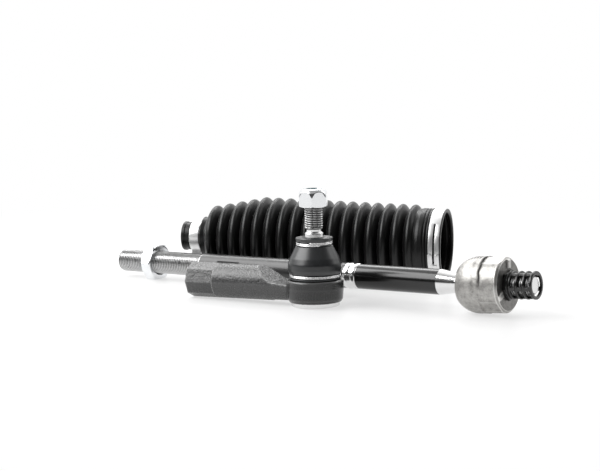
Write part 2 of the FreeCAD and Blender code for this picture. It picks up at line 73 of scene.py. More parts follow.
# Threads that several pieces share, a bore's clearance, and the painted highlight on crests and painted
# shade in roots
thread_pitch = 1.5
thread_depth = 0.92
bore_clearance = 0.05
crest_highlight = 0.6
root_shade = 1.6

# Tie rod end
plate_radius = 16.0
plate_thickness = 3.6
plate_edge = 0.6
cup_radius = 18.9
ball_height = 15.0
ball_radius = 10.5
ball_flat = 0.8
neck_radius = 5.25
neck_end = 27.6
taper_start = 31.5
taper_end = 48.2
taper_slope = 0.05
shank_radius = 6.1
undercut_radius = 4.9
undercut_start = 49.4
undercut_end = 50.7
stud_thread_start = undercut_end + 1.2
stud_thread_radius = 6.0
stud_top = 73.6
stud_chamfer = 1.0
nut_seat = 65.6
nut_height = 12.0
nut_flats = 18.0
nut_turn = math.radians(9.0)
nut_chamfer = 1.5
nut_chamfer_height = 0.9
nut_countersink = 6.7
crown_start = 6.4
crown_shoulder = 9.7
crown_shoulder_radius = 9.55
crown_rim = 11.7
crown_rim_radius = 7.9
crown_top_radius = 7.0
insert_start = 8.45
insert_end = 11.35
insert_radius = 7.1
insert_lip = 6.6
arm_reach = 93.0
arm_height = 14.0
socket_core = 7.19
socket_depth = 45.0
socket_reach = 7.8
socket_opening = 0.95

# Boot on the tie rod end, and its rings
boot_base = 18.0
boot_flange_radius = 16.9
base_ring_start = 19.1
base_ring_end = 21.15
boot_groove_radius = 15.9
bulge_foot = 21.9
bulge_foot_radius = 16.8
bulge_start = 24.0
bulge_end = 28.4
bulge_radius = 17.75
slope_height = 32.2
slope_radius = 16.3
slope_end_radius = 12.9
shoulder_radius = 12.3
shoulder_height = 39.8
neck_groove_radius = 11.0
neck_groove_start = 40.1
neck_groove_end = 42.3
lip_start = 43.2
lip_top = 45.5
lip_radius = 12.3
lip_rim = 1.6
lip_recess = 1.8
boot_wall = 1.6
boot_bore = 6.8
boot_foot_bore = 14.6
inner_slope_height = 32.0
inner_slope_radius = 14.9
inner_bulge_height = 26.0
inner_bulge_radius = bulge_radius - boot_wall
ring_wire = 1.0
ring_turn_steps = 96
ring_section_points = 16

# Axial rod
rod_length = 298.1
rod_thread_radius = 8.0
rod_thread_length = 72.9
rod_tip_chamfer = 1.5
shaft_radius = 8.5
rod_ball_radius = 13.0
throat_radius = 5.95
rod_neck_radius = 6.2
lock_nut_face = 264.4
lock_nut_thickness = 8.0
lock_nut_flats = 24.0
lock_nut_chamfer = 1.7
lock_nut_bevel = 1.0
lock_nut_bore = 8.1
lock_nut_countersink = 9.3
wrench_from = -208.3
wrench_to = -188.3
wrench_flats = 14.0
band_from = -102.8
band_to = -92.8
band_radius = 8.25
bead_middles = (-100.2, -94.8)
bead_half = 1.7
bead_rise = 0.45
coat_radius = 8.45
taper_from = -30.0
taper_to = -17.3

# Axial joint housing and its pin
housing_radius = 18.6
cavity_radius = 15.0
mouth_angle = 46.5
mouth_flare = 5.5
dome_end = 2.0
barrel_radius = 18.2
barrel_start = 6.4
forging_step = 0.4
housing_length = 19.2
face_chamfer = 1.4
flat_distance = 17.5
flat_start = 5.0
flat_angles = (72.5, 192.5, 312.5)
rib_angles = (94.0, 214.0, 334.0)
rib_height = 1.1
rib_width = 3.8
rib_inner = 10.9
pin_radius = 7.0
pin_end_radius = 5.3
pin_length = 18.8
step_spread = 2.2
step_waves = ((0.55, 3, 0.6), (0.35, 8, 0.0), (0.2, 17, 1.0))
press_mark_depth = 0.30
press_mark_pitch = 2.1

# Bellows
bellows_length = 193.6
bellows_wall = 1.3
mouth_radius = 25.3
mouth_lip = 0.7
mouth_bore = 22.6
groove_radius = 24.3
groove_end = 9.0
shoulder_at = 16.4
shoulder_grooves = (10.9, 13.0)
fold_count = 17
last_fold = 22.9
fold_pitch = 9.14
widest_fold = 4
first_fold_radius = 22.5
widest_fold_radius = 29.7
last_fold_radius = 27.6
fold_depth = 6.6
fold_roundness = 2.1
valley_softness = 0.12
fold_depth_change = 0.06
cone_ridge = 178.2
cone_dip = 174.6
cone_radius = 14.4
cone_dip_depth = 0.8
small_groove_start = 180.1
small_groove_end = 187.6
small_groove_radius = 9.4
small_collar_radius = 9.9
small_end_radius = 10.4
small_lip = 2.6
small_bore = 8.3
shoulder_drop = 0.5
shoulder_groove_depth = 0.75
shoulder_groove_width = 0.45
mouth_bore_end = 13.0
mouth_rings = ((9.5, 7.1), (4.6, 2.5))
mouth_ring_depth = 0.8
mouth_ring_slope = 0.3

# Points round a turned piece, a nut and the axial housing, and how near doubled points are in metres
turned_columns = 96
nut_columns = 144
housing_columns = 240
hexagon_sharpness = 70
merge_distance = 1e-7


def record_item(items, name):
    return next(item for item in items if item["name"] == name)


def joint(name):
    return record_item(frame["record"]["behaviour"]["joints"], name)


def mount(name):
    return record_item(frame["record"]["mounts"], name)


def placement(origin, along, across):
    """4 by 4 matrix of a group's frame: its X runs along, its Z is the part of across square to X."""
    x = np.array(along, float)
    x /= np.linalg.norm(x)
    z = np.array(across, float)
    z -= x * (x @ z)
    z /= np.linalg.norm(z)
    place = np.eye(4)
    place[:3, 0] = x
    place[:3, 1] = np.cross(z, x)
    place[:3, 2] = z
    place[:3, 3] = origin
    return place


def stood_up(place):
    """The same frame with its Z axis named X, for pieces turned about an upright axis."""
    turned = place.copy()
    turned[:3, 0] = place[:3, 2]
    turned[:3, 1] = place[:3, 0]
    turned[:3, 2] = place[:3, 1]
    return turned


def end_place():
    """Frame of the tie rod end: foot of the stud's axis, X away from the arm, Z up the stud."""
    stud = joint("stud_spin")
    along = -np.array(mount("rod_socket")["axis"])
    up = np.array(stud["axis"])
    origin = np.array(stud["pos_m"]) - up * ball_height * MM
    return placement(origin, along, up)


rod_place = placement(
    joint("inner_swing")["pos_m"],
    joint("inner_swing_direction")["axis"],
    joint("inner_swing")["axis"],
)
housing_place = placement(joint("inner_swing")["pos_m"], mount("rack_pin")["axis"], (0, 0, 1))
mouth = mount("bellows_mouth")
bellows_place = placement(
    np.array(mouth["pos_m"]) + np.array(mouth["axis"]) * mouth["dims"]["length_mm"] / 2 * MM,
    mouth["axis"],
    (0, 0, 1),
)
tie_rod_end_place = end_place()
stud_place = stood_up(tie_rod_end_place)


# Light: strengths of the room's dim walls, of its bright backdrop behind the object, and overhead
room_strength = 0.05
backdrop_strength = 1.0
ceiling_strength = 0.35

# How much of the floor's white shows by itself near the object and far from it, and where that changes
floor_white_near = 0.58
floor_white_far = 1.0
floor_near = 0.26
floor_far = 0.55


# Meshes


def placed(points, place):
    """Points of a group's frame in millimetres, as points of the row frame in metres."""
    return points @ place[:3, :3].T * MM + place[:3, 3]


def grid_piece(name, points, place, closed_down=False, closed_around=True, uv=None, edge=None):
    """A mesh from a grid of points (rows, columns, 3): quads between neighbours, ends fanned shut where a
    row shrinks to a point. edge is how far each point stands out, from -1 in a root to 1 on a ridge, which
    the finishes turn into painted shade in roots and a painted highlight on ridges."""
    rows, columns = points.shape[:2]
    index = np.arange(rows * columns).reshape(rows, columns)
    down = np.roll(index, -1, axis=0) if closed_down else index[1:]
    top = index if closed_down else index[:-1]
    if closed_around:
        quads = np.stack([top, np.roll(top, -1, 1), np.roll(down, -1, 1), down], -1)
    else:
        quads = np.stack([top[:, :-1], top[:, 1:], down[:, 1:], down[:, :-1]], -1)
    quads = quads.reshape(-1, 4)
    mesh = bpy.data.meshes.new(name)
    mesh.from_pydata(placed(points.reshape(-1, 3), place).tolist(), [], quads.tolist())
    if uv is not None:
        layer = mesh.uv_layers.new(name="turn")
        corners = np.empty(len(mesh.loops), int)
        mesh.loops.foreach_get("vertex_index", corners)
        flat = uv.reshape(-1, 2)[corners]
        flat = flat.reshape(-1, 4, 2)
        wrap = (flat[:, :, 1].max(1) - flat[:, :, 1].min(1)) > 0.5
        flat[wrap, :, 1] += flat[wrap, :, 1] < 0.5
        layer.data.foreach_set("uv", flat.reshape(-1))
    if edge is not None:
        store_edge(mesh, np.broadcast_to(edge, (rows, columns)).reshape(-1))
    piece = bpy.data.objects.new(name, mesh)
    bpy.context.scene.collection.objects.link(piece)
    tidy(piece)
    return piece


def store_edge(mesh, value):
    """Keep a value per point, which the finishes read to paint shade into roots and a highlight onto
    ridges.
    """
    layer = mesh.attributes.new("edge", "FLOAT", "POINT")
    layer.data.foreach_set("value", np.ascontiguousarray(value, np.float32))


def mark_edges(piece, gain, spread=2):
    """Find ridges and creases: how far each point stands out of its neighbours' mean along its normal, as a
    share of the mesh's grain, averaged with its neighbours a few times. The finishes paint shade into the
    creases and a highlight onto the ridges from it."""
    mesh = piece.data
    count = len(mesh.vertices)
    points = mesh_points(piece)
    ends = np.empty(len(mesh.edges) * 2, int)
    mesh.edges.foreach_get("vertices", ends)
    a, b = ends.reshape(-1, 2).T
    near = np.maximum(np.bincount(a, minlength=count) + np.bincount(b, minlength=count), 1)

    def around(values):
        return np.bincount(a, values[b], count) + np.bincount(b, values[a], count)

    normals = np.empty(count * 3)
    mesh.vertices.foreach_get("normal", normals)
    normals = normals.reshape(-1, 3)
    mean = np.stack([around(points[:, k]) / near for k in range(3)], -1)
    grain_size = np.mean(np.linalg.norm(points[a] - points[b], axis=1))
    out = np.sum((points - mean) * normals, 1) / grain_size
    for _ in range(spread):
        out = (out + around(out) / near) / 2
    store_edge(mesh, np.clip(out * gain, -1, 1))


def tidy(piece):
    """Merge doubled points at poles and seams, face everything outwards and shade it smooth."""
    shell = bmesh.new()
    shell.from_mesh(piece.data)
    bmesh.ops.remove_doubles(shell, verts=shell.verts, dist=1e-6)
    bmesh.ops.recalc_face_normals(shell, faces=shell.faces)
    shell.to_mesh(piece.data)
    shell.free()
    smooth(piece)


def smooth(piece, angle=35.0):
    """Smooth shading with creases where faces meet at more than the angle."""
    piece.data.polygons.foreach_set("use_smooth", np.ones(len(piece.data.polygons), bool))
    piece.data.set_sharp_from_angle(angle=math.radians(angle))


def around_grid(along, radius, angle):
    """Grid of points about X: 0 degrees faces -Y and 90 degrees faces +Z."""
    return np.stack([along, -radius * np.cos(angle), radius * np.sin(angle)], -1)


def turn_angles(columns):
    """Angles of a turned grid's columns: one full turn in equal steps, without its end."""
    return np.arange(columns) * 2 * math.pi / columns


def across(values, columns):
    """A profile's values repeated in every column of a grid."""
    return np.repeat(values[:, None], columns, 1)


def turned_piece(name, along, radius, place, columns=turned_columns, closed_down=False, edge=None):
    """A surface of revolution about the frame's X. along and radius are profiles, or grids whose columns go
    round; its UV map holds the place along the axis and the share of a turn."""
    along, radius = (a if a.ndim == 2 else across(a, columns) for a in (along, radius))
    angle = np.broadcast_to(turn_angles(columns), along.shape)
    uv = np.stack([along / 100, angle / (2 * math.pi)], -1)
    return grid_piece(name, around_grid(along, radius, angle), place, closed_down, True, uv, edge)


def profile(corners, arc_steps=6, step=None):
    """A profile through corners (along, radius, rounding): each rounding becomes an arc, and long straight
    stretches get points every step."""
    points = []
    for k, (u, r, rounding) in enumerate(corners):
        here = np.array([u, r], float)
        if rounding and 0 < k < len(corners) - 1:
            before = np.array(corners[k - 1][:2], float) - here
            after = np.array(corners[k + 1][:2], float) - here
            length_before, length_after = np.linalg.norm(before), np.linalg.norm(after)
            before, after = before / length_before, after / length_after
            half = math.acos(float(np.clip(before @ after, -1, 1))) / 2
            reach = min(rounding / math.tan(half), length_before * 0.48, length_after * 0.48)
            bisector = (before + after) / np.linalg.norm(before + after)
            centre = here + bisector * reach / math.cos(half)
            start, end = here + before * reach - centre, here + after * reach - centre
            share = np.linspace(0, 1, arc_steps + 1)[:, None]
            mixed = start * (1 - share) + end * share
            arc = mixed / np.linalg.norm(mixed, axis=1)[:, None] * np.linalg.norm(start)
            points.extend(centre + arc)
        else:
            points.append(here)
    points = np.array(points)
    if step:
        length = np.r_[0, np.cumsum(np.linalg.norm(np.diff(points, axis=0), axis=1))]
        keep = np.union1d(length, np.arange(0, length[-1], step))
        points = np.stack([np.interp(keep, length, points[:, k]) for k in (0, 1)], -1)
    return points[:, 0], points[:, 1]


def ball_arc(radius, centre, first, last, steps=24):
    """Profile of a ball from one angle to another, in degrees from its far pole along the axis."""
    angle = np.radians(np.linspace(first, last, steps))
    return centre + radius * np.cos(angle), radius * np.sin(angle)


def thread_wave(along, angle, pitch):
    """0 on a thread's crest and 1 in its root, flat on both, along a helix of this pitch."""
    turn = along / pitch - angle / (2 * math.pi)
    off_crest = np.abs((turn + 0.5) % 1.0 - 0.5)
    return np.clip((off_crest - 1 / 16) / (7 / 16 - 1 / 8), 0, 1)


def thread_edge(wave):
    """How far a thread stands out, for its painted highlight on crests and painted shade in roots: the
    highlight's value on a crest, less the shade's drop in a root.
    """
    return crest_highlight - root_shade * wave


def bell(value, middle, width):
    """Bell curve: 1 at the middle, falling off with the square of the distance over the width."""
    return np.exp(-(((value - middle) / width) ** 2))


def ramp(value, low, high):
    """Smooth step from 0 at low to 1 at high."""
    share = np.clip((value - low) / (high - low), 0, 1)
    return share * share * (3 - 2 * share)


def soft_minimum(a, b, width):
    """The lesser of two radii, rounded over this width where they cross."""
    share = np.clip(0.5 + (b - a) / (2 * width), 0, 1)
    return b * (1 - share) + a * share - width * share * (1 - share)


def polygon_radius(angle, flats, count, first, sharpness):
    """Polar radius of a polygon with softened corners: a power mean of the distances to its sides."""
    sides = first + math.pi / count + turn_angles(count)
    reach = np.maximum(np.cos(angle[..., None] - sides), 1e-6)
    return flats / 2 / np.sum(reach**sharpness, -1) ** (1 / sharpness)


def merged_copy(name, node, flat_angle=None):
    """A new piece with a CAD node's mesh, its doubled points merged. Faces that meet at less than
    flat_angle degrees are joined, if it is given."""
    piece = bpy.data.objects.new(name, frame["nodes"][node].data.copy())
    bpy.context.scene.collection.objects.link(piece)
    shell = bmesh.new()
    shell.from_mesh(piece.data)
    bmesh.ops.remove_doubles(shell, verts=shell.verts, dist=merge_distance)
    if flat_angle:
        flat = math.radians(flat_angle)
        bmesh.ops.dissolve_limit(shell, angle_limit=flat, verts=shell.verts, edges=shell.edges)
    shell.to_mesh(piece.data)
    shell.free()
    return piece


def softened(name, node, voxel, passes):
    """A CAD piece with the soft edges of a forging or moulding: remeshed in voxels, then smoothed."""
    piece = merged_copy(name, node)
    remesh = piece.modifiers.new("voxels", "REMESH")
    remesh.mode = "VOXEL"
    remesh.voxel_size = voxel * MM
    soften = piece.modifiers.new("soften", "SMOOTH")
    soften.factor = 0.5
    soften.iterations = passes
    apply_modifiers(piece)
    smooth(piece)
    return piece


def bevelled(name, node, width, angle=30.0):
    """A CAD piece in sheet metal: a merged copy whose edges are rounded by this width."""
    piece = merged_copy(name, node, flat_angle=1.0)
    rounding = piece.modifiers.new("rounded edges", "BEVEL")
    rounding.width = width * MM
    rounding.segments = 2
    rounding.limit_method = "ANGLE"
    rounding.angle_limit = math.radians(angle)
    apply_modifiers(piece)
    smooth(piece)
    return piece


def apply_modifiers(piece):
    """Put the modifiers' result into the mesh and take the modifiers off."""
    graph = bpy.context.evaluated_depsgraph_get()
    graph.update()
    result = bpy.data.meshes.new_from_object(piece.evaluated_get(graph))
    piece.modifiers.clear()
    piece.data = result


def mesh_points(piece):
    points = np.empty(len(piece.data.vertices) * 3)
    piece.data.vertices.foreach_get("co", points)
    return points.reshape(-1, 3)


def set_mesh_points(piece, points):
    piece.data.vertices.foreach_set("co", points.reshape(-1))
    piece.data.update()


def local_points(piece, place):
    """A piece's points in a group's frame, in millimetres."""
    return (mesh_points(piece) - place[:3, 3]) @ place[:3, :3] / MM


def dress(piece, body, slot, *materials, stands_for=(), zones=None):
    """Give a piece its materials and body (none if it bends between two), and hide the CAD node that it
    stands for. slot is not used. zones holds each face's material number."""
    piece.data.materials.clear()
    for material in materials:
        piece.data.materials.append(material)
    if zones is not None:
        piece.data.polygons.foreach_set("material_index", zones.astype(np.int32))
    if body:
        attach(piece, body)
    if stands_for:
        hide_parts(*stands_for)
    return piece


def face_middles(piece, place):
    """Middle of each face in a group's frame, in millimetres."""
    middles = np.empty(len(piece.data.polygons) * 3)
    piece.data.polygons.foreach_get("center", middles)
    return (middles.reshape(-1, 3) - place[:3, 3]) @ place[:3, :3] / MM


# Materials


def new_group(name, inputs, outputs):
    """An empty shader group with named inputs (name, type, value) and outputs (name, type)."""
    group = bpy.data.node_groups.new(name, "ShaderNodeTree")
    for label, kind, value in inputs:
        socket = group.interface.new_socket(name=label, in_out="INPUT", socket_type=kind)
        socket.default_value = value
    for label, kind in outputs:
        group.interface.new_socket(name=label, in_out="OUTPUT", socket_type=kind)
    return group, group.nodes.new("NodeGroupInput"), group.nodes.new("NodeGroupOutput")


def noise_node(tree, scale, detail, roughness=0.5):
    node = tree.nodes.new("ShaderNodeTexNoise")
    node.inputs["Detail"].default_value = detail
    node.inputs["Roughness"].default_value = roughness
    if scale is not None:
        node.inputs["Scale"].default_value = scale
    return node


def grain_group():
    """Coarse mottling mixed with fine grain on Object coordinates. Out: a 0 to 1 mask and a bump height."""
    group, given, out = new_group(
        "cast grain",
        [
            ("Coarse Scale", "NodeSocketFloat", 180.0),
            ("Fine Scale", "NodeSocketFloat", 900.0),
            ("Fine Share", "NodeSocketFloat", 0.4),
        ],
        [("Mask", "NodeSocketFloat"), ("Height", "NodeSocketFloat")],
    )
    links = group.links
    coordinates = group.nodes.new("ShaderNodeTexCoord")
    coarse = noise_node(group, None, 4.0, 0.55)
    fine = noise_node(group, None, 3.0, 0.6)
    mix = group.nodes.new("ShaderNodeMix")
    contrast = group.nodes.new("ShaderNodeMapRange")
    contrast.inputs["From Min"].default_value = 0.3
    contrast.inputs["From Max"].default_value = 0.7
    for noise, scale in ((coarse, "Coarse Scale"), (fine, "Fine Scale")):
        links.new(coordinates.outputs["Object"], noise.inputs["Vector"])
        links.new(given.outputs[scale], noise.inputs["Scale"])
    links.new(given.outputs["Fine Share"], mix.inputs["Factor"])
    links.new(coarse.outputs["Fac"], mix.inputs["A"])
    links.new(fine.outputs["Fac"], mix.inputs["B"])
    links.new(mix.outputs["Result"], contrast.inputs["Value"])
    links.new(contrast.outputs["Result"], out.inputs["Mask"])
    links.new(mix.outputs["Result"], out.inputs["Height"])
    return group


def turning_group():
    """Fine rings left by a lathe, from the turn UV map: noise drawn out round the axis."""
    group, given, out = new_group(
        "turning marks",
        [("Fineness", "NodeSocketFloat", 900.0)],
        [("Mask", "NodeSocketFloat"), ("Height", "NodeSocketFloat")],
    )
    links = group.links
    coordinates = group.nodes.new("ShaderNodeUVMap")
    coordinates.uv_map = "turn"
    stretch = group.nodes.new("ShaderNodeVectorMath")
    stretch.operation = "MULTIPLY"
    scale = group.nodes.new("ShaderNodeCombineXYZ")
    scale.inputs["Y"].default_value = 1.5
    noise = noise_node(group, 1.0, 3.0, 0.6)
    links.new(given.outputs["Fineness"], scale.inputs["X"])
    links.new(coordinates.outputs["UV"], stretch.inputs[0])
    links.new(scale.outputs["Vector"], stretch.inputs[1])
    links.new(stretch.outputs["Vector"], noise.inputs["Vector"])
    links.new(noise.outputs["Fac"], out.inputs["Mask"])
    links.new(noise.outputs["Fac"], out.inputs["Height"])
    return group


def edge_group():
    """A colour with painted shade in roots and creases and a painted highlight on ridges, from the point
    value edge.
    """
    group, given, out = new_group(
        "painted ridge highlight and crease shade",
        [
            ("Color", "NodeSocketColor", (0.5, 0.5, 0.5, 1)),
            ("Ridge Highlight", "NodeSocketColor", (0.8, 0.8, 0.8, 1)),
            ("Crease Shade", "NodeSocketColor", (0.02, 0.02, 0.02, 1)),
        ],
        [("Color", "NodeSocketColor")],
    )
    links = group.links
    value = group.nodes.new("ShaderNodeAttribute")
    value.attribute_name = "edge"
    colour = given.outputs["Color"]
    for label, bound in (("Ridge Highlight", 1.0), ("Crease Shade", -1.0)):
        share = group.nodes.new("ShaderNodeMapRange")
        share.inputs["From Max"].default_value = bound
        mix = group.nodes.new("ShaderNodeMix")
        mix.data_type = "RGBA"
        links.new(value.outputs["Fac"], share.inputs["Value"])
        links.new(share.outputs["Result"], mix.inputs["Factor"])
        links.new(colour, mix.inputs[6])
        links.new(given.outputs[label], mix.inputs[7])
        colour = mix.outputs[2]
    links.new(colour, out.inputs["Color"])
    return group


grain = grain_group()
turning = turning_group()
edging = edge_group()


def finish_material(
    name, dark, light, rough, metallic=0.0, bump=0.0, effect=grain, values=None, ridge=None, crease=None,
    **plain
):
    """A finish whose colour and roughness vary between two values with an effect's mask, and whose bump
    comes from the effect's height. ridge and crease are the colours of its painted highlight on ridges and
    its painted shade in creases, if it has any, and plain holds further values set straight on the shader."""
    material = bpy.data.materials.new(name)
    material.use_nodes = True
    tree = material.node_tree
    shader = tree.nodes["Principled BSDF"]
    shader.inputs["Metallic"].default_value = metallic
    for socket, value in plain.items():
        shader.inputs[socket.replace("_", " ")].default_value = value
    worn = tree.nodes.new("ShaderNodeGroup")
    worn.node_tree = effect
    for socket, value in (values or {}).items():
        worn.inputs[socket].default_value = value
    colour = tree.nodes.new("ShaderNodeMix")
    colour.data_type = "RGBA"
    colour.inputs[6].default_value = (*dark, 1)
    colour.inputs[7].default_value = (*light, 1)
    roughness = tree.nodes.new("ShaderNodeMapRange")
    roughness.inputs["To Min"].default_value = rough[0]
    roughness.inputs["To Max"].default_value = rough[1]
    tree.links.new(worn.outputs["Mask"], colour.inputs["Factor"])
    shown = colour.outputs[2]
    # Painted highlight on ridges and painted shade in creases, from the edge values
    if ridge:
        edges = tree.nodes.new("ShaderNodeGroup")
        edges.node_tree = edging
        edges.inputs["Ridge Highlight"].default_value = (*ridge, 1)
        edges.inputs["Crease Shade"].default_value = (*crease, 1)
        tree.links.new(shown, edges.inputs["Color"])
        shown = edges.outputs["Color"]
    tree.links.new(shown, shader.inputs["Base Color"])
    tree.links.new(worn.outputs["Mask"], roughness.inputs["Value"])
    tree.links.new(roughness.outputs["Result"], shader.inputs["Roughness"])
    if bump:
        relief = tree.nodes.new("ShaderNodeBump")
        relief.inputs["Strength"].default_value = 1.0
        relief.inputs["Distance"].default_value = bump * MM
        tree.links.new(worn.outputs["Height"], relief.inputs["Height"])
        tree.links.new(relief.outputs["Normal"], shader.inputs["Normal"])
    return material


def grey(level, blue=0.0):
    return (level, level * (1 + blue / 2), level * (1 + blue))


# ridge and crease: painted highlight on the forging's ridges and painted shade in its creases
painted_forging = finish_material(
    "painted forging", grey(0.006, 0.04), grey(0.024, 0.04), (0.22, 0.34), bump=0.6,
    values={"Coarse Scale": 420.0, "Fine Scale": 1100.0, "Fine Share": 0.4}, IOR=1.7,
    ridge=grey(0.17), crease=grey(0.002),
)
# ridge and crease: painted highlight on the cup's ridges and painted shade in its creases
painted_cup = finish_material(
    "painted cup", grey(0.008, 0.04), grey(0.014, 0.04), (0.17, 0.24), bump=0.05,
    values={"Coarse Scale": 110.0, "Fine Scale": 600.0, "Fine Share": 0.15}, IOR=1.55,
    ridge=grey(0.10), crease=grey(0.003),
)
shaft_finish = finish_material(
    "phosphated shaft", grey(0.018), grey(0.030), (0.28, 0.36), metallic=0.1, bump=0.02,
    values={"Coarse Scale": 90.0, "Fine Scale": 900.0}, IOR=1.6,
)
coated_finish = finish_material(
    "coated shaft", grey(0.004), grey(0.006), (0.18, 0.22), bump=0.004,
    values={"Coarse Scale": 60.0, "Fine Scale": 700.0}, IOR=1.55,
)
# ridge and crease: painted highlight on thread crests and painted shade in thread roots
thread_steel = finish_material(
    "thread steel", grey(0.52), grey(0.70), (0.24, 0.34), metallic=1.0, bump=0.01,
    values={"Coarse Scale": 150.0, "Fine Scale": 1200.0},
    ridge=grey(0.86), crease=grey(0.10),
)
turned_steel = finish_material(
    "turned steel", grey(0.70), grey(0.86), (0.14, 0.22), metallic=1.0, bump=0.01, effect=turning,
)
zinc = finish_material(
    "bright zinc", grey(0.80, 0.03), grey(0.90, 0.03), (0.12, 0.20), metallic=1.0, bump=0.008,
    values={"Coarse Scale": 140.0, "Fine Scale": 800.0},
)
# ridge and crease: painted highlight on the housing's edges and ribs, painted shade at its step, notches
# and recesses
forged_steel = finish_material(
    "bare forged steel", (0.23, 0.222, 0.212), (0.56, 0.55, 0.53), (0.34, 0.48), metallic=0.92, bump=0.35,
    values={"Coarse Scale": 330.0, "Fine Scale": 1000.0, "Fine Share": 0.4},
    ridge=(0.80, 0.79, 0.77), crease=(0.05, 0.048, 0.045),
)
cage_plastic = finish_material(
    "cage plastic", grey(0.006), grey(0.010), (0.14, 0.20), bump=0.008,
    values={"Coarse Scale": 90.0, "Fine Scale": 500.0}, IOR=1.6,
)
boot_rubber = finish_material(
    "boot rubber", grey(0.008, 0.25), grey(0.012, 0.25), (0.30, 0.36), bump=0.015,
    values={"Coarse Scale": 70.0, "Fine Scale": 1400.0}, IOR=1.65,
)
bellows_rubber = finish_material(
    "bellows rubber", grey(0.002, 0.05), grey(0.004, 0.05), (0.34, 0.42), bump=0.015,
    values={"Coarse Scale": 60.0, "Fine Scale": 1200.0}, Specular_IOR_Level=0.4,
    Sheen_Weight=0.12, Sheen_Roughness=0.25,
)
clamp_steel = finish_material(
    "clamp steel", grey(0.78), grey(0.86), (0.38, 0.46), metallic=1.0, bump=0.004,
    values={"Coarse Scale": 120.0, "Fine Scale": 900.0},
)
ring_steel = finish_material(
    "ring steel", grey(0.82), grey(0.92), (0.22, 0.30), metallic=1.0, bump=0.004,
    values={"Coarse Scale": 160.0, "Fine Scale": 900.0},
)
seat_plastic = finish_material(
    "seat plastic", grey(0.62), grey(0.70), (0.42, 0.52), bump=0.01,
    values={"Coarse Scale": 60.0, "Fine Scale": 700.0},
)
insert_nylon = finish_material(
    "insert nylon", (0.05, 0.13, 0.14), (0.08, 0.19, 0.20), (0.38, 0.48), bump=0.01,
    values={"Coarse Scale": 90.0, "Fine Scale": 700.0},
)


# Tie rod end


def ball_stud():
    """Ball, neck, 1:10 taper, undercut and M12 x 1.5 thread, turned about the stud's axis."""
    neck_angle = math.degrees(math.asin(neck_radius / ball_radius))
    flat_angle = math.degrees(math.acos(ball_flat / ball_radius - 1))
    ball_u, ball_r = ball_arc(ball_radius, ball_height, flat_angle, neck_angle, 40)
    taper_large = shank_radius + (taper_end - taper_start) * taper_slope
    body_u, body_r = profile(
        [
            (ball_u[-1] + 0.3, neck_radius, 0),
            (neck_end, neck_radius, 2.5),
            (taper_start, taper_large, 0.8),
            (taper_end, shank_radius, 0.5),
            (undercut_start, undercut_radius, 0.4),
            (undercut_end, undercut_radius, 0.3),
            (stud_thread_start, stud_thread_radius, 0),
        ],
        step=0.6,
    )
    thread_u = np.arange(stud_thread_start, stud_top, thread_pitch / 12)[1:]
    thread_r = np.minimum(stud_thread_radius, stud_thread_radius + (stud_top - stud_chamfer - thread_u))
    along = np.r_[ball_u[0], ball_u, body_u, thread_u, stud_top, stud_top]
    radius = np.r_[0, ball_r, body_r, thread_r, stud_thread_radius - stud_chamfer, 0]
    angle = turn_angles(turned_columns)
    depth = thread_depth * ramp(along, undercut_end + 0.3, undercut_end + 1.5) * (along < stud_top - 0.1)
    wave = thread_wave(along[:, None], angle[None, :], thread_pitch)
    floor_radius = stud_thread_radius - thread_depth
    threaded = (along[:, None] > undercut_end) & (radius[:, None] > floor_radius)
    cut = np.maximum(np.minimum(radius[:, None], stud_thread_radius - depth[:, None] * wave), 0)
    radius = np.where(threaded, cut, radius[:, None])
    # Painted highlight on the thread's crests and painted shade in its roots
    edge = np.where(threaded, thread_edge(wave), 0)
    piece = turned_piece("ball_stud_turned", across(along, turned_columns), radius, stud_place, edge=edge)
    middles = face_middles(piece, stud_place)[:, 0]
    return dress(
        piece, "stud", "stud_steel", turned_steel, thread_steel,
        stands_for=["ball_stud"], zones=middles > undercut_end,
    )


def dust_boot():
    """Boot wall with a grooved foot, one bulge, a grooved neck and a lip dished round the stud."""
    along, radius = profile(
        [
            (boot_base, boot_groove_radius, 0),
            (boot_base, boot_flange_radius, 0.4),
            (base_ring_start, boot_flange_radius, 0.3),
            (base_ring_start, boot_groove_radius, 0.2),
            (base_ring_end, boot_groove_radius, 0.2),
            (bulge_foot, bulge_foot_radius, 0.6),
            (bulge_start, bulge_radius, 4.0),
            (bulge_end, bulge_radius, 5.0),
            (slope_height, slope_radius, 6.0),
            (shoulder_height - 1.2, slope_end_radius, 3.0),
            (shoulder_height, shoulder_radius, 0.4),
            (neck_groove_start, neck_groove_radius, 0.2),
            (neck_groove_end, neck_groove_radius, 0.3),
            (lip_start, lip_radius - 0.15, 0.4),
            (lip_top - 0.4, lip_radius, 0.3),
            (lip_top, lip_radius - 0.35, 0.3),
            (lip_top - 0.05, lip_radius - lip_rim + 0.3, 0.4),
            (lip_top - lip_recess, lip_radius - lip_rim - lip_recess, 0.6),
            (lip_top - lip_recess, boot_bore, 0.3),
            (neck_groove_start, boot_bore, 0.6),
            (shoulder_height - boot_wall, shoulder_radius - boot_wall, 1.5),
            (inner_slope_height, inner_slope_radius, 6.0),
            (inner_bulge_height, inner_bulge_radius, 4.0),
            (base_ring_end, boot_foot_bore + 0.1, 0.5),
            (boot_base, boot_foot_bore, 0),
            (boot_base, boot_groove_radius, 0),
        ],
        step=0.7,
    )
    piece = turned_piece("dust_boot_moulded", along, radius, stud_place, 128)
    dress(piece, None, "boot_rubber", boot_rubber, stands_for=["dust_boot"])
    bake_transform(piece)
    return piece


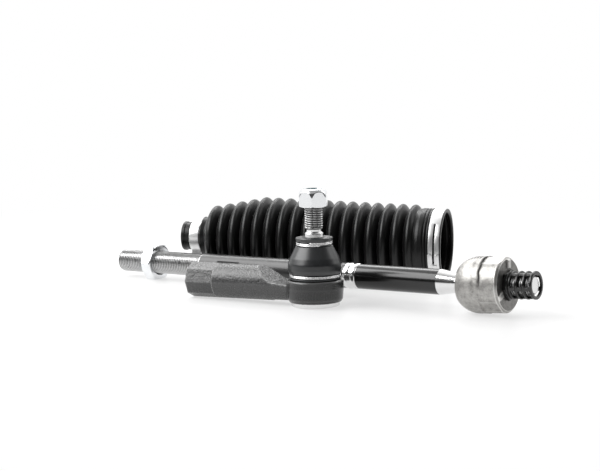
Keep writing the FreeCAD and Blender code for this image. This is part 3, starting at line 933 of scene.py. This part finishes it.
def wound_ring(name, height, middle_radius, bottom, turns, first_turn):
    """A flat wire wound into a ring: an oval section carried along a helix of close turns."""
    steps = int(turns * ring_turn_steps)
    sweep = np.linspace(0, turns * 2 * math.pi, steps)
    section = np.linspace(0, 2 * math.pi, ring_section_points, endpoint=False)
    taper = np.minimum(1, np.minimum(sweep, sweep[::-1]) / 0.05 + 0.02)
    rise = bottom + height / 2 + (sweep / (2 * math.pi)) * height
    along = rise[:, None] + taper[:, None] * height / 2 * 0.97 * np.sin(section)[None, :]
    radius = middle_radius + taper[:, None] * ring_wire / 2 * np.cos(section)[None, :]
    angle = (sweep + first_turn)[:, None] + 0 * section[None, :]
    points = around_grid(along, radius, angle)
    uv = np.stack([along / 100, angle / (2 * math.pi)], -1)
    return grid_piece(name, points, stud_place, False, True, uv)


def boot_rings():
    """The rings at the boot's foot and neck, each of about two turns of flat wire."""
    base = wound_ring(
        "base_ring_wound", height=0.93, middle_radius=16.5, bottom=19.15, turns=2.05, first_turn=2.4
    )
    dress(base, "end_housing", "ring_steel", ring_steel, stands_for=["boot_base_ring"])
    top = wound_ring(
        "top_ring_wound", height=0.98, middle_radius=11.6, bottom=40.2, turns=2.1, first_turn=3.9
    )
    dress(top, "boot_neck", "ring_steel", ring_steel, stands_for=["boot_top_ring"])


def nut_piece(name, outer, hollow, flats, first, rounding, start, place):
    """Hexagon nut from start along its axis: rows of a hexagon rounded off by the outer outline, closed by
    the rows of its hollow, which stay within the outline's first row."""
    hexagon = polygon_radius(turn_angles(nut_columns), flats, 6, first, hexagon_sharpness)
    outer_along, hollow_along = across(outer[0], nut_columns), across(hollow[0], nut_columns)
    outer_radius = soft_minimum(hexagon[None, :] + 0 * outer_along, outer[1][:, None], rounding)
    hollow_radius = np.minimum(across(hollow[1], nut_columns), outer_radius[:1])
    along = np.concatenate([outer_along, hollow_along]) + start
    radius = np.concatenate([outer_radius, hollow_radius])
    return turned_piece(name, along, radius, place, nut_columns)


def stud_nut():
    """Hexagon with a chamfered foot and a crown drawn in to hold the nylon ring."""
    corner = nut_flats / math.sqrt(3)
    foot = corner - nut_chamfer
    outer = profile(
        [
            (0, foot, 0),
            (nut_chamfer_height, corner + 0.05, 0.5),
            (crown_start, corner + 0.05, 1.6),
            (crown_shoulder, crown_shoulder_radius, 2.4),
            (crown_rim, crown_rim_radius, 0.8),
            (nut_height, crown_top_radius, 0),
        ],
        step=0.3,
    )
    bore = stud_thread_radius + bore_clearance
    hollow = profile(
        [(nut_height, crown_top_radius, 0), (nut_height - 0.4, insert_lip, 0.2),
         (insert_end, insert_lip, 0), (insert_end, insert_radius, 0), (insert_start, insert_radius, 0),
         (insert_start, bore, 0), (0.6, bore, 0), (0, nut_countersink, 0), (0, foot, 0)],
        step=0.8,
    )
    piece = nut_piece(
        "stud_nut_forged", outer, hollow, nut_flats, nut_turn,
        rounding=0.22, start=nut_seat, place=stud_place,
    )
    return dress(piece, "nut", "nut_zinc", zinc, stands_for=["stud_nut"])


def stud_nut_insert():
    """Nylon ring under the nut's drawn-in rim."""
    inner, outer = stud_thread_radius + bore_clearance, insert_radius - bore_clearance
    along, radius = profile(
        [(insert_start, inner, 0), (insert_start, outer, 0.2), (insert_end, outer, 0.2),
         (insert_end, inner + 0.4, 0.3), (insert_end - 0.4, inner, 0.2), (insert_start, inner, 0)],
    )
    piece = turned_piece("nut_insert_moulded", along + nut_seat, radius, stud_place)
    return dress(piece, "nut_ring", "insert_nylon", insert_nylon, stands_for=["stud_nut_insert"])


def tie_rod_end_housing():
    """Forged body with soft edges; the socket's wall is opened out to the thread's full width."""
    piece = softened("end_forging_softened", "tie_rod_end_housing", voxel=0.40, passes=2)
    # Painted shade in the forging's creases and painted highlight on its ridges, read by its finishes
    mark_edges(piece, gain=14.0)
    points = local_points(piece, tie_rod_end_place)
    side, height = points[:, 1], points[:, 2] - arm_height
    reach = np.hypot(side, height)
    along = points[:, 0] + arm_reach
    inside = (along < socket_depth + 3) & (along > -1) & (reach < socket_reach)
    grow = np.where(inside, (reach + socket_opening) / np.maximum(reach, 3.0), 1.0)
    points[:, 1] = side * grow
    points[:, 2] = arm_height + height * grow
    set_mesh_points(piece, placed(points, tie_rod_end_place))
    middles = face_middles(piece, tie_rod_end_place)
    return dress(
        piece, "end_housing", "end_forging", painted_forging, painted_cup,
        stands_for=["tie_rod_end_housing"], zones=np.hypot(middles[:, 0], middles[:, 1]) < cup_radius + 0.6,
    )


def socket_thread():
    """Female M16 x 1.5 thread that lines the octagon's socket."""
    columns = turned_columns
    along = np.arange(0.6, socket_depth - 6, thread_pitch / 10)
    wave = thread_wave(along[:, None], turn_angles(columns)[None, :], thread_pitch)
    radius = socket_core + thread_depth * 0.88 * (1 - wave)
    outer = np.full((1, columns), socket_core + thread_depth + 0.25)
    along = across(np.r_[along[0], along, along[-1]], columns)
    radius = np.concatenate([outer, radius, outer])
    place = tie_rod_end_place.copy()
    place[:3, 3] = placed(np.array([-arm_reach, 0, arm_height]), tie_rod_end_place)
    piece = turned_piece("socket_thread_cut", along, radius, place, columns, closed_down=True)
    return dress(piece, "end_housing", "end_forging", thread_steel)


def cover_plate():
    """Pressed plate with a bright edge below the cup."""
    along, radius = profile(
        [(0, 0, 0), (0, plate_radius - plate_edge, 0.3), (plate_edge, plate_radius, 0.3),
         (plate_thickness, plate_radius, 0.1), (plate_thickness, 0, 0)],
        step=1.0,
    )
    piece = turned_piece("cover_plate_pressed", along, radius, stud_place, 128)
    return dress(piece, "end_housing", "plate_steel", turned_steel, stands_for=["cover_plate"])


# Axial rod and its joint


def axial_rod():
    """M16 x 1.5 thread, shaft with wrench flats, bright zone with two beads, coated length, taper and
    ball."""
    thread_end = -rod_length + rod_thread_length
    thread_u = np.arange(-rod_length, thread_end + 2.4, thread_pitch / 10)
    tip = rod_thread_radius - rod_tip_chamfer + (thread_u + rod_length)
    runout = ramp(thread_u, thread_end - 0.5, thread_end + 1.6)
    thread_r = np.minimum(tip, rod_thread_radius + (shaft_radius - rod_thread_radius) * runout)
    shaft_u, shaft_r = profile(
        [
            (thread_u[-1] + 0.1, shaft_radius, 0),
            (band_from, shaft_radius, 0.1),
            (band_from + 0.25, band_radius, 0.1),
            (band_to - 0.1, band_radius, 0.1),
            (band_to, coat_radius, 0.1),
            (taper_from, coat_radius, 0.3),
            (taper_to, rod_neck_radius, 3.0),
            (-11.6, throat_radius, 0),
        ],
        step=0.25,
    )
    for middle in bead_middles:
        inside = np.clip(1 - ((shaft_u - middle) / bead_half) ** 2, 0, 1)
        shaft_r = shaft_r + bead_rise * np.sqrt(inside)
    throat = 180 - math.degrees(math.asin(throat_radius / rod_ball_radius))
    ball_u, ball_r = ball_arc(rod_ball_radius, 0, throat, 0, 48)
    along = np.r_[-rod_length, thread_u, shaft_u, ball_u]
    radius = np.r_[0, thread_r, shaft_r, ball_r]
    angle = turn_angles(turned_columns)
    fade = 1 - ramp(along, thread_end - 1.0, thread_end + 1.4)
    wave = thread_wave(along[:, None], angle[None, :], thread_pitch)
    cut = rod_thread_radius - thread_depth * fade[:, None] * wave
    threaded = (along < thread_end + 1.4)[:, None] & (radius[:, None] > 5)
    radius = np.where(threaded, np.minimum(radius[:, None], np.maximum(cut, 0)), radius[:, None])
    # Painted highlight on the thread's crests and painted shade in its roots
    edge = np.where(threaded, fade[:, None] * thread_edge(wave), 0)
    run_in = 2.2
    cutter = np.minimum(along - wrench_from, wrench_to - along)
    sink = (shaft_radius - wrench_flats / 2) * ramp(cutter, -run_in / 2, run_in / 2)
    distance = shaft_radius - sink
    sides = np.maximum(np.abs(np.cos(angle)), 0.2)
    flat = distance[:, None] / sides[None, :]
    flatted = (sink > 0.01)[:, None] & (flat < radius)
    radius = np.where(flatted, flat, radius)
    piece = turned_piece("axial_rod_turned", across(along, turned_columns), radius, rod_place, edge=edge)
    middle = face_middles(piece, rod_place)[:, 0]
    zone = np.select(
        [middle < thread_end + 0.8, middle < band_from, middle < band_to, middle < taper_from],
        [0, 1, 2, 3],
        2,
    )
    return dress(
        piece, "rod", "rod_steel", thread_steel, shaft_finish, turned_steel, coated_finish,
        stands_for=["axial_rod"], zones=zone,
    )


def rod_lock_nut():
    """Thin hexagon with both faces chamfered and a countersunk thread."""
    corner = lock_nut_flats / math.sqrt(3)
    face = corner - lock_nut_chamfer
    far = lock_nut_thickness - lock_nut_bevel
    outer = profile(
        [(0, face, 0), (lock_nut_bevel, corner + 0.1, 0.4), (far, corner + 0.1, 0.4),
         (lock_nut_thickness, face, 0)],
        step=0.25,
    )
    hollow = profile(
        [(lock_nut_thickness, face, 0), (lock_nut_thickness, lock_nut_countersink, 0.1),
         (far, lock_nut_bore, 0.1), (lock_nut_bevel, lock_nut_bore, 0.1),
         (0, lock_nut_countersink, 0.1), (0, face, 0)],
        step=0.6,
    )
    start = -lock_nut_face - lock_nut_thickness
    piece = nut_piece(
        "lock_nut_forged", outer, hollow, lock_nut_flats, 0.0,
        rounding=0.25, start=start, place=rod_place,
    )
    return dress(piece, "lock_nut", "nut_zinc", zinc, stands_for=["rod_lock_nut"])


def axial_housing():
    """Forged ball housing: open dome with press marks on top, a wavy forging step, a barrel with three
    wrench flats, a chamfered face with three ribs, and a threaded pin. Flats, ribs, step and marks are
    functions of the angle that change the turned outline, and set edge values for painted shade along the
    step's upper side, in the marks' notches and between the ribs, and a painted highlight on the flats' and
    chamfer's edges and on the ribs."""
    columns = housing_columns
    angle = turn_angles(columns)
    opening = 180 - mouth_angle
    dome_stop = math.degrees(math.acos(dome_end / housing_radius))
    dome_u, dome_r = ball_arc(housing_radius, 0, opening, dome_stop, 64)
    cavity_u, cavity_r = ball_arc(cavity_radius, 0, 20, opening - mouth_flare, 32)
    rim_u = np.linspace(cavity_u[-1], dome_u[0], 5)[1:-1]
    rim_r = np.linspace(cavity_r[-1], dome_r[0], 5)[1:-1]
    rib_top = housing_length + rib_height
    chamfer_from = housing_length - face_chamfer
    barrel_u, barrel_r = profile(
        [
            (dome_u[-1], dome_r[-1], 0),
            (barrel_start - forging_step, barrel_radius + forging_step, 0.4),
            (barrel_start, barrel_radius, 0.3),
            (chamfer_from, barrel_radius, 0.35),
            (housing_length, barrel_radius - face_chamfer, 0.2),
            (housing_length, pin_radius + 0.2, 0),
        ],
        step=0.3,
    )
    pin_end = housing_length + pin_length
    pin_u = np.arange(housing_length, pin_end, thread_pitch / 10)
    pin_r = np.minimum(pin_radius, pin_end_radius + (pin_end - pin_u))
    along = np.r_[cavity_u, rim_u, dome_u, barrel_u[1:], pin_u, pin_end, pin_end]
    radius = np.r_[cavity_r, rim_r, dome_r, barrel_r[1:], pin_r, pin_end_radius, 0]
    inner_rows = len(cavity_u) + len(rim_u)
    outer_rows = len(dome_u) + len(barrel_u) - 1
    outside = np.r_[np.zeros(inner_rows), np.ones(outer_rows), np.zeros(len(pin_u) + 2)][:, None]
    on_pin = np.r_[np.zeros(len(radius) - len(pin_u) - 2), np.ones(len(pin_u)), 0, 0][:, None]
    along, radius = across(along, columns), across(radius, columns)
    edge = np.zeros_like(radius)
    wobble = sum(height * np.sin(count * angle + shift) for height, count, shift in step_waves)
    near_step = bell(along, barrel_start, step_spread) * outside
    # Painted shade along the forging step, strongest on its upper side
    step_shade = ramp(np.sin(angle + 0.25), 0.1, 0.75)[None, :]
    edge = edge - 1.1 * step_shade * bell(along, barrel_start - 0.5, 1.2) * outside
    along = along + wobble[None, :] * near_step
    for flat in flat_angles:
        off = np.cos(angle - math.radians(flat))[None, :]
        plane = flat_distance / np.maximum(off, 0.3)
        plane = plane + 2.0 * (1 - ramp(along, flat_start - 0.4, flat_start + 0.6))
        cut = soft_minimum(radius, plane, 0.10)
        # Painted highlight along the edges of each flat
        ridge = bell(radius, plane, 0.12) * (along > flat_start + 0.6)
        edge = edge + 0.5 * ridge * outside
        radius = np.where(outside > 0, cut, radius)
    top = ramp(np.sin(angle), 0.93, 0.985)[None, :]
    marks = top * ramp(along, -10.0, -8.5) * (1 - ramp(along, 2.0, 3.5)) * outside
    notch = 0.5 + 0.5 * np.sin(along * 2 * math.pi / press_mark_pitch + 2.0 * np.sin(5 * angle)[None, :])
    radius = radius - press_mark_depth * marks * notch
    # Painted shade in the press marks' notches
    edge = edge - 1.1 * marks * notch
    # Painted highlight on the chamfer's edges
    chamfer_highlight = bell(along, chamfer_from, 0.35) + bell(along, housing_length, 0.2)
    edge = edge + 0.8 * chamfer_highlight * outside * (radius > barrel_radius - face_chamfer - 0.6)
    for rib in rib_angles:
        away = np.abs((angle - math.radians(rib) + math.pi) % (2 * math.pi) - math.pi)
        width = np.maximum(radius, 1) * away[None, :]
        raised = 1 - ramp(width, rib_width / 2 - 0.2, rib_width / 2 + 0.15)
        raised = raised * ramp(radius, rib_inner - 0.2, rib_inner + 0.2) * outside
        face = along > housing_length - 0.05
        chamfer_plane = np.maximum(along, chamfer_from + barrel_radius - radius)
        lifted = np.minimum(along + rib_height * raised, chamfer_plane)
        along = np.where(face, lifted, along)
        # Painted highlight on the raised ribs
        edge = edge + 0.6 * raised * face
    # Painted shade on the recessed face between the ribs
    recessed = (along > housing_length - 0.05) & (along < housing_length + 0.3) & (outside > 0)
    edge = np.where(recessed & (radius < barrel_radius - face_chamfer - 0.4), -0.45, edge)
    wave = thread_wave(along, angle[None, :], thread_pitch)
    fade = ramp(along, housing_length + 0.5, housing_length + 2.0) * on_pin
    radius = np.where(on_pin > 0, np.minimum(radius, pin_radius - thread_depth * fade * wave), radius)
    # Painted highlight on the pin thread's crests and painted shade in its roots
    edge = edge + fade * thread_edge(wave)
    edge = np.clip(edge, -1, 1)
    piece = turned_piece("axial_housing_forged", along, radius, housing_place, columns, edge=edge)
    middle = face_middles(piece, housing_place)[:, 0]
    zone = np.select([middle < rib_top + 0.05, middle < pin_end - 0.02], [0, 1], 2)
    return dress(
        piece, "inner_housing", "housing_steel", forged_steel, thread_steel, turned_steel,
        stands_for=["axial_housing"], zones=zone,
    )


def thread_protector():
    """Moulded cage with softened window edges."""
    piece = softened("protector_moulded", "thread_protector", voxel=0.22, passes=3)
    return dress(piece, "protector", "cage_plastic", cage_plastic, stands_for=["thread_protector"])


# Bellows and its clamps


def fold_profile():
    """Outer profile of the bellows from its mouth back: lip, band groove, grooved shoulder, round folds,
    and the ridge, groove and collar of the narrow end. A fold's radius falls from its crest by its depth
    times a power of the distance."""
    crest_at = -(last_fold + fold_pitch * np.arange(fold_count))
    order = fold_count - 1 - np.arange(fold_count)
    rising = first_fold_radius + (widest_fold_radius - first_fold_radius) * order / widest_fold
    share = (order - widest_fold) / (fold_count - 1 - widest_fold)
    easing = widest_fold_radius + (last_fold_radius - widest_fold_radius) * share
    crest = np.where(order <= widest_fold, rising, easing)
    start, end = crest_at[0] + fold_pitch / 2, crest_at[-1] - fold_pitch / 2
    along = np.arange(start, end, -0.3)
    nearest = np.clip(np.round((crest_at[0] - along) / fold_pitch), 0, fold_count - 1).astype(int)
    off = np.abs(along - crest_at[nearest]) / (fold_pitch / 2)
    top = np.interp(-along, -crest_at, crest)
    depth = fold_depth * (1 - fold_depth_change * np.sin(nearest * 2.3))
    radius = top - depth * np.minimum(off, 1) ** fold_roundness * (1 - valley_softness * off**6)
    shoulder_radius_low = mouth_radius - shoulder_drop
    radius = np.where(along > crest_at[0], np.maximum(radius, shoulder_radius_low), radius)
    front_u, front_r = profile(
        [
            (0, mouth_bore + 0.8, 0),
            (0, mouth_radius, 0.3),
            (-mouth_lip, mouth_radius, 0.2),
            (-mouth_lip - 0.1, groove_radius, 0.1),
            (-groove_end, groove_radius, 0.1),
            (-groove_end - 0.1, mouth_radius, 0.3),
            (-shoulder_at, mouth_radius, 2.0),
            (start, shoulder_radius_low, 0),
        ],
        step=0.25,
    )
    for at in shoulder_grooves:
        front_r = front_r - shoulder_groove_depth * bell(front_u, -at, shoulder_groove_width)
    back_u, back_r = profile(
        [
            (end, radius[-1], 0),
            (-cone_dip, cone_radius - cone_dip_depth, 0.8),
            (-cone_ridge, cone_radius, 0.6),
            (-small_groove_start, small_groove_radius, 0.4),
            (-small_groove_end, small_groove_radius, 0.1),
            (-small_groove_end - 0.1, small_collar_radius, 0.2),
            (small_lip - bellows_length, small_collar_radius, 0.2),
            (small_lip - bellows_length - 0.2, small_end_radius, 0.3),
            (-bellows_length, small_end_radius, 0.6),
            (-bellows_length, small_bore + 0.3, 0),
        ],
        step=0.4,
    )
    return np.r_[front_u[:-1], along, back_u[1:]], np.r_[front_r[:-1], radius, back_r[1:]]


def bellows():
    """Rubber gaiter: the outer profile, and the same profile set in by the wall, both turned about X."""
    outer_u, outer_r = fold_profile()
    keep = (outer_u < -shoulder_at) & (outer_u > -cone_ridge)
    slope_u, slope_r = np.gradient(outer_u), np.gradient(outer_r)
    length = np.hypot(slope_u, slope_r) + 1e-9
    inner_u = outer_u - bellows_wall * slope_r / length
    inner_r = outer_r + bellows_wall * slope_u / length
    inner_u, inner_r = inner_u[keep][::-1], inner_r[keep][::-1]
    small_u, small_r = profile(
        [(-bellows_length, small_bore + 0.3, 0), (-bellows_length + 0.4, small_bore, 0.2),
         (-small_groove_start, small_bore, 0.5), (inner_u[0], inner_r[0], 0)],
        step=1.0,
    )
    recess = mouth_bore + mouth_ring_depth
    mouth_outline = [(inner_u[-1], inner_r[-1], 0), (-mouth_bore_end, mouth_bore, 0.5)]
    for back, front in mouth_rings:
        mouth_outline.extend([
            (-back, mouth_bore, 0.2),
            (-back + mouth_ring_slope, recess, 0.2),
            (-front - mouth_ring_slope, recess, 0.2),
            (-front, mouth_bore, 0.2),
        ])
    mouth_outline.extend([(-0.8, mouth_bore, 0.5), (0, recess, 0)])
    mouth_u, mouth_r = profile(mouth_outline, step=1.0)
    along = np.r_[outer_u, small_u[1:-1], inner_u, mouth_u[1:]]
    radius = np.r_[outer_r, small_r[1:-1], inner_r, mouth_r[1:]]
    piece = turned_piece("bellows_moulded", along, radius, bellows_place, 120)
    dress(piece, None, "bellows_rubber", bellows_rubber, stands_for=["bellows"])
    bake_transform(piece)
    return piece


def clamps():
    """The slotted band at the mouth and the crimped band at the narrow end, with rounded edges."""
    large = bevelled("large_clamp_rolled", "bellows_large_clamp", width=0.18)
    dress(large, "bellows", "clamp_steel", clamp_steel, stands_for=["bellows_large_clamp"])
    small = bevelled("small_clamp_crimped", "bellows_small_clamp", width=0.16)
    dress(small, "small_clamp", "clamp_steel", clamp_steel, stands_for=["bellows_small_clamp"])


def plain_nodes():
    """CAD pieces that keep their own shape, with their finish."""
    for node in ("ball_seat", "axial_ball_seat"):
        frame["nodes"][node].data.materials.clear()
        frame["nodes"][node].data.materials.append(seat_plastic)


# Studio


def camera():
    """The camera at the photograph's place: turned with the view about the stud's foot."""
    foot = tie_rod_end_place[:3, 3]
    turn = np.array(
        [[math.cos(view_turn), -math.sin(view_turn)], [math.sin(view_turn), math.cos(view_turn)]]
    )
    ground = turn @ np.array([camera_side, camera_back]) * MM
    data = bpy.data.cameras.new("photo camera")
    data.sensor_width = sensor_width
    data.lens = focal_pixels / photo_width * sensor_width
    data.clip_end = 20.0
    seen = bpy.data.objects.new("photo camera", data)
    seen.location = (foot[0] + ground[0], foot[1] + ground[1], camera_height * MM)
    seen.rotation_euler = (math.pi / 2 - view_dip, 0, view_turn)
    bpy.context.scene.collection.objects.link(seen)
    bpy.context.scene.camera = seen


def floor():
    """Pale floor that keeps the object's shadow, and turns to plain white away from it for the camera and
    in reflections."""
    size = 6.0
    mesh = bpy.data.meshes.new("studio floor")
    mesh.from_pydata(
        [(-size, -size, 0), (size, -size, 0), (size, size, 0), (-size, size, 0)], [], [(0, 1, 2, 3)]
    )
    ground = bpy.data.objects.new("studio floor", mesh)
    bpy.context.scene.collection.objects.link(ground)
    material = bpy.data.materials.new("white floor")
    material.use_nodes = True
    tree = material.node_tree
    links = tree.links
    shader = tree.nodes["Principled BSDF"]
    shader.inputs["Base Color"].default_value = (0.86, 0.86, 0.86, 1)
    shader.inputs["Roughness"].default_value = 0.32
    shader.inputs["Specular IOR Level"].default_value = 0.35
    glow = tree.nodes.new("ShaderNodeEmission")
    glow.inputs["Color"].default_value = (1, 1, 1, 1)
    coordinates = tree.nodes.new("ShaderNodeTexCoord")
    distance = tree.nodes.new("ShaderNodeVectorMath")
    distance.operation = "LENGTH"
    white = tree.nodes.new("ShaderNodeMapRange")
    white.interpolation_type = "SMOOTHSTEP"
    white.inputs["From Min"].default_value = floor_near
    white.inputs["From Max"].default_value = floor_far
    white.inputs["To Min"].default_value = floor_white_near
    white.inputs["To Max"].default_value = floor_white_far
    path = tree.nodes.new("ShaderNodeLightPath")
    seen = tree.nodes.new("ShaderNodeMath")
    seen.operation = "MAXIMUM"
    share = tree.nodes.new("ShaderNodeMath")
    share.operation = "MULTIPLY"
    mix = tree.nodes.new("ShaderNodeMixShader")
    links.new(coordinates.outputs["Object"], distance.inputs[0])
    links.new(distance.outputs["Value"], white.inputs["Value"])
    links.new(path.outputs["Is Camera Ray"], seen.inputs[0])
    links.new(path.outputs["Is Glossy Ray"], seen.inputs[1])
    links.new(seen.outputs["Value"], share.inputs[0])
    links.new(white.outputs["Result"], share.inputs[1])
    links.new(share.outputs["Value"], mix.inputs["Fac"])
    links.new(shader.outputs["BSDF"], mix.inputs[1])
    links.new(glow.outputs["Emission"], mix.inputs[2])
    links.new(mix.outputs["Shader"], tree.nodes["Material Output"].inputs["Surface"])
    mesh.materials.append(material)


def world():
    """White to the camera; for light and reflections a dim room with a bright backdrop and ceiling."""
    sky = bpy.data.worlds.new("studio")
    bpy.context.scene.world = sky
    sky.use_nodes = True
    tree = sky.node_tree
    links = tree.links
    background = tree.nodes["Background"]
    background.inputs["Color"].default_value = (1, 1, 1, 1)
    path = tree.nodes.new("ShaderNodeLightPath")
    coordinates = tree.nodes.new("ShaderNodeTexCoord")
    total = None
    toward_backdrop = (-math.sin(view_turn), math.cos(view_turn), 0.35)
    for direction, low, high, strength in (
        (toward_backdrop, 0.15, 0.85, backdrop_strength),
        ((0, 0, 1), 0.35, 0.95, ceiling_strength),
    ):
        facing = tree.nodes.new("ShaderNodeVectorMath")
        facing.operation = "DOT_PRODUCT"
        facing.inputs[1].default_value = direction
        rise = tree.nodes.new("ShaderNodeMapRange")
        rise.interpolation_type = "SMOOTHSTEP"
        rise.inputs["From Min"].default_value = low
        rise.inputs["From Max"].default_value = high
        rise.inputs["To Max"].default_value = strength
        links.new(coordinates.outputs["Generated"], facing.inputs[0])
        links.new(facing.outputs["Value"], rise.inputs["Value"])
        add = tree.nodes.new("ShaderNodeMath")
        add.operation = "ADD"
        add.inputs[1].default_value = room_strength
        links.new(rise.outputs["Result"], add.inputs[0])
        if total is not None:
            links.new(total, add.inputs[1])
        total = add.outputs["Value"]
    mix = tree.nodes.new("ShaderNodeMix")
    mix.inputs["B"].default_value = 1.0
    links.new(path.outputs["Is Camera Ray"], mix.inputs["Factor"])
    links.new(total, mix.inputs["A"])
    links.new(mix.outputs["Result"], background.inputs["Strength"])
    bpy.context.scene.view_settings.view_transform = "Standard"


def lamp(name, offset, size, power, aim=(0.0, 0.0, 0.03)):
    """A softbox at an offset (side, depth, height) in metres as the camera sees it, facing the object."""
    data = bpy.data.lights.new(name, "AREA")
    data.shape = "RECTANGLE"
    data.size, data.size_y = size
    data.energy = power
    light = bpy.data.objects.new(name, data)
    side, depth, height = offset
    place = np.array(
        [
            math.cos(view_turn) * side - math.sin(view_turn) * depth,
            math.sin(view_turn) * side + math.cos(view_turn) * depth,
            height,
        ]
    )
    toward = np.array(aim) - place
    z = -toward / np.linalg.norm(toward)
    x = np.cross((0, 0, 1), z)
    x /= np.linalg.norm(x)
    matrix = np.eye(4)
    matrix[:3, 0] = x
    matrix[:3, 1] = np.cross(z, x)
    matrix[:3, 2] = z
    matrix[:3, 3] = place
    light.matrix_world = Matrix(matrix.tolist())
    bpy.context.scene.collection.objects.link(light)


def studio():
    camera()
    floor()
    world()
    lamp("left softbox", offset=(-0.63, -0.09, 0.60), size=(0.85, 0.60), power=9.0)
    lamp("right softbox", offset=(0.82, 0.14, 0.56), size=(0.35, 0.60), power=1.1)
    lamp("rear softbox", offset=(-0.05, 0.62, 0.62), size=(1.00, 0.22), power=3.5)


def assemble():
    tie_rod_end_housing()
    socket_thread()
    cover_plate()
    ball_stud()
    dust_boot()
    boot_rings()
    stud_nut()
    stud_nut_insert()
    axial_rod()
    rod_lock_nut()
    axial_housing()
    thread_protector()
    bellows()
    clamps()
    plain_nodes()
    studio()


assemble()
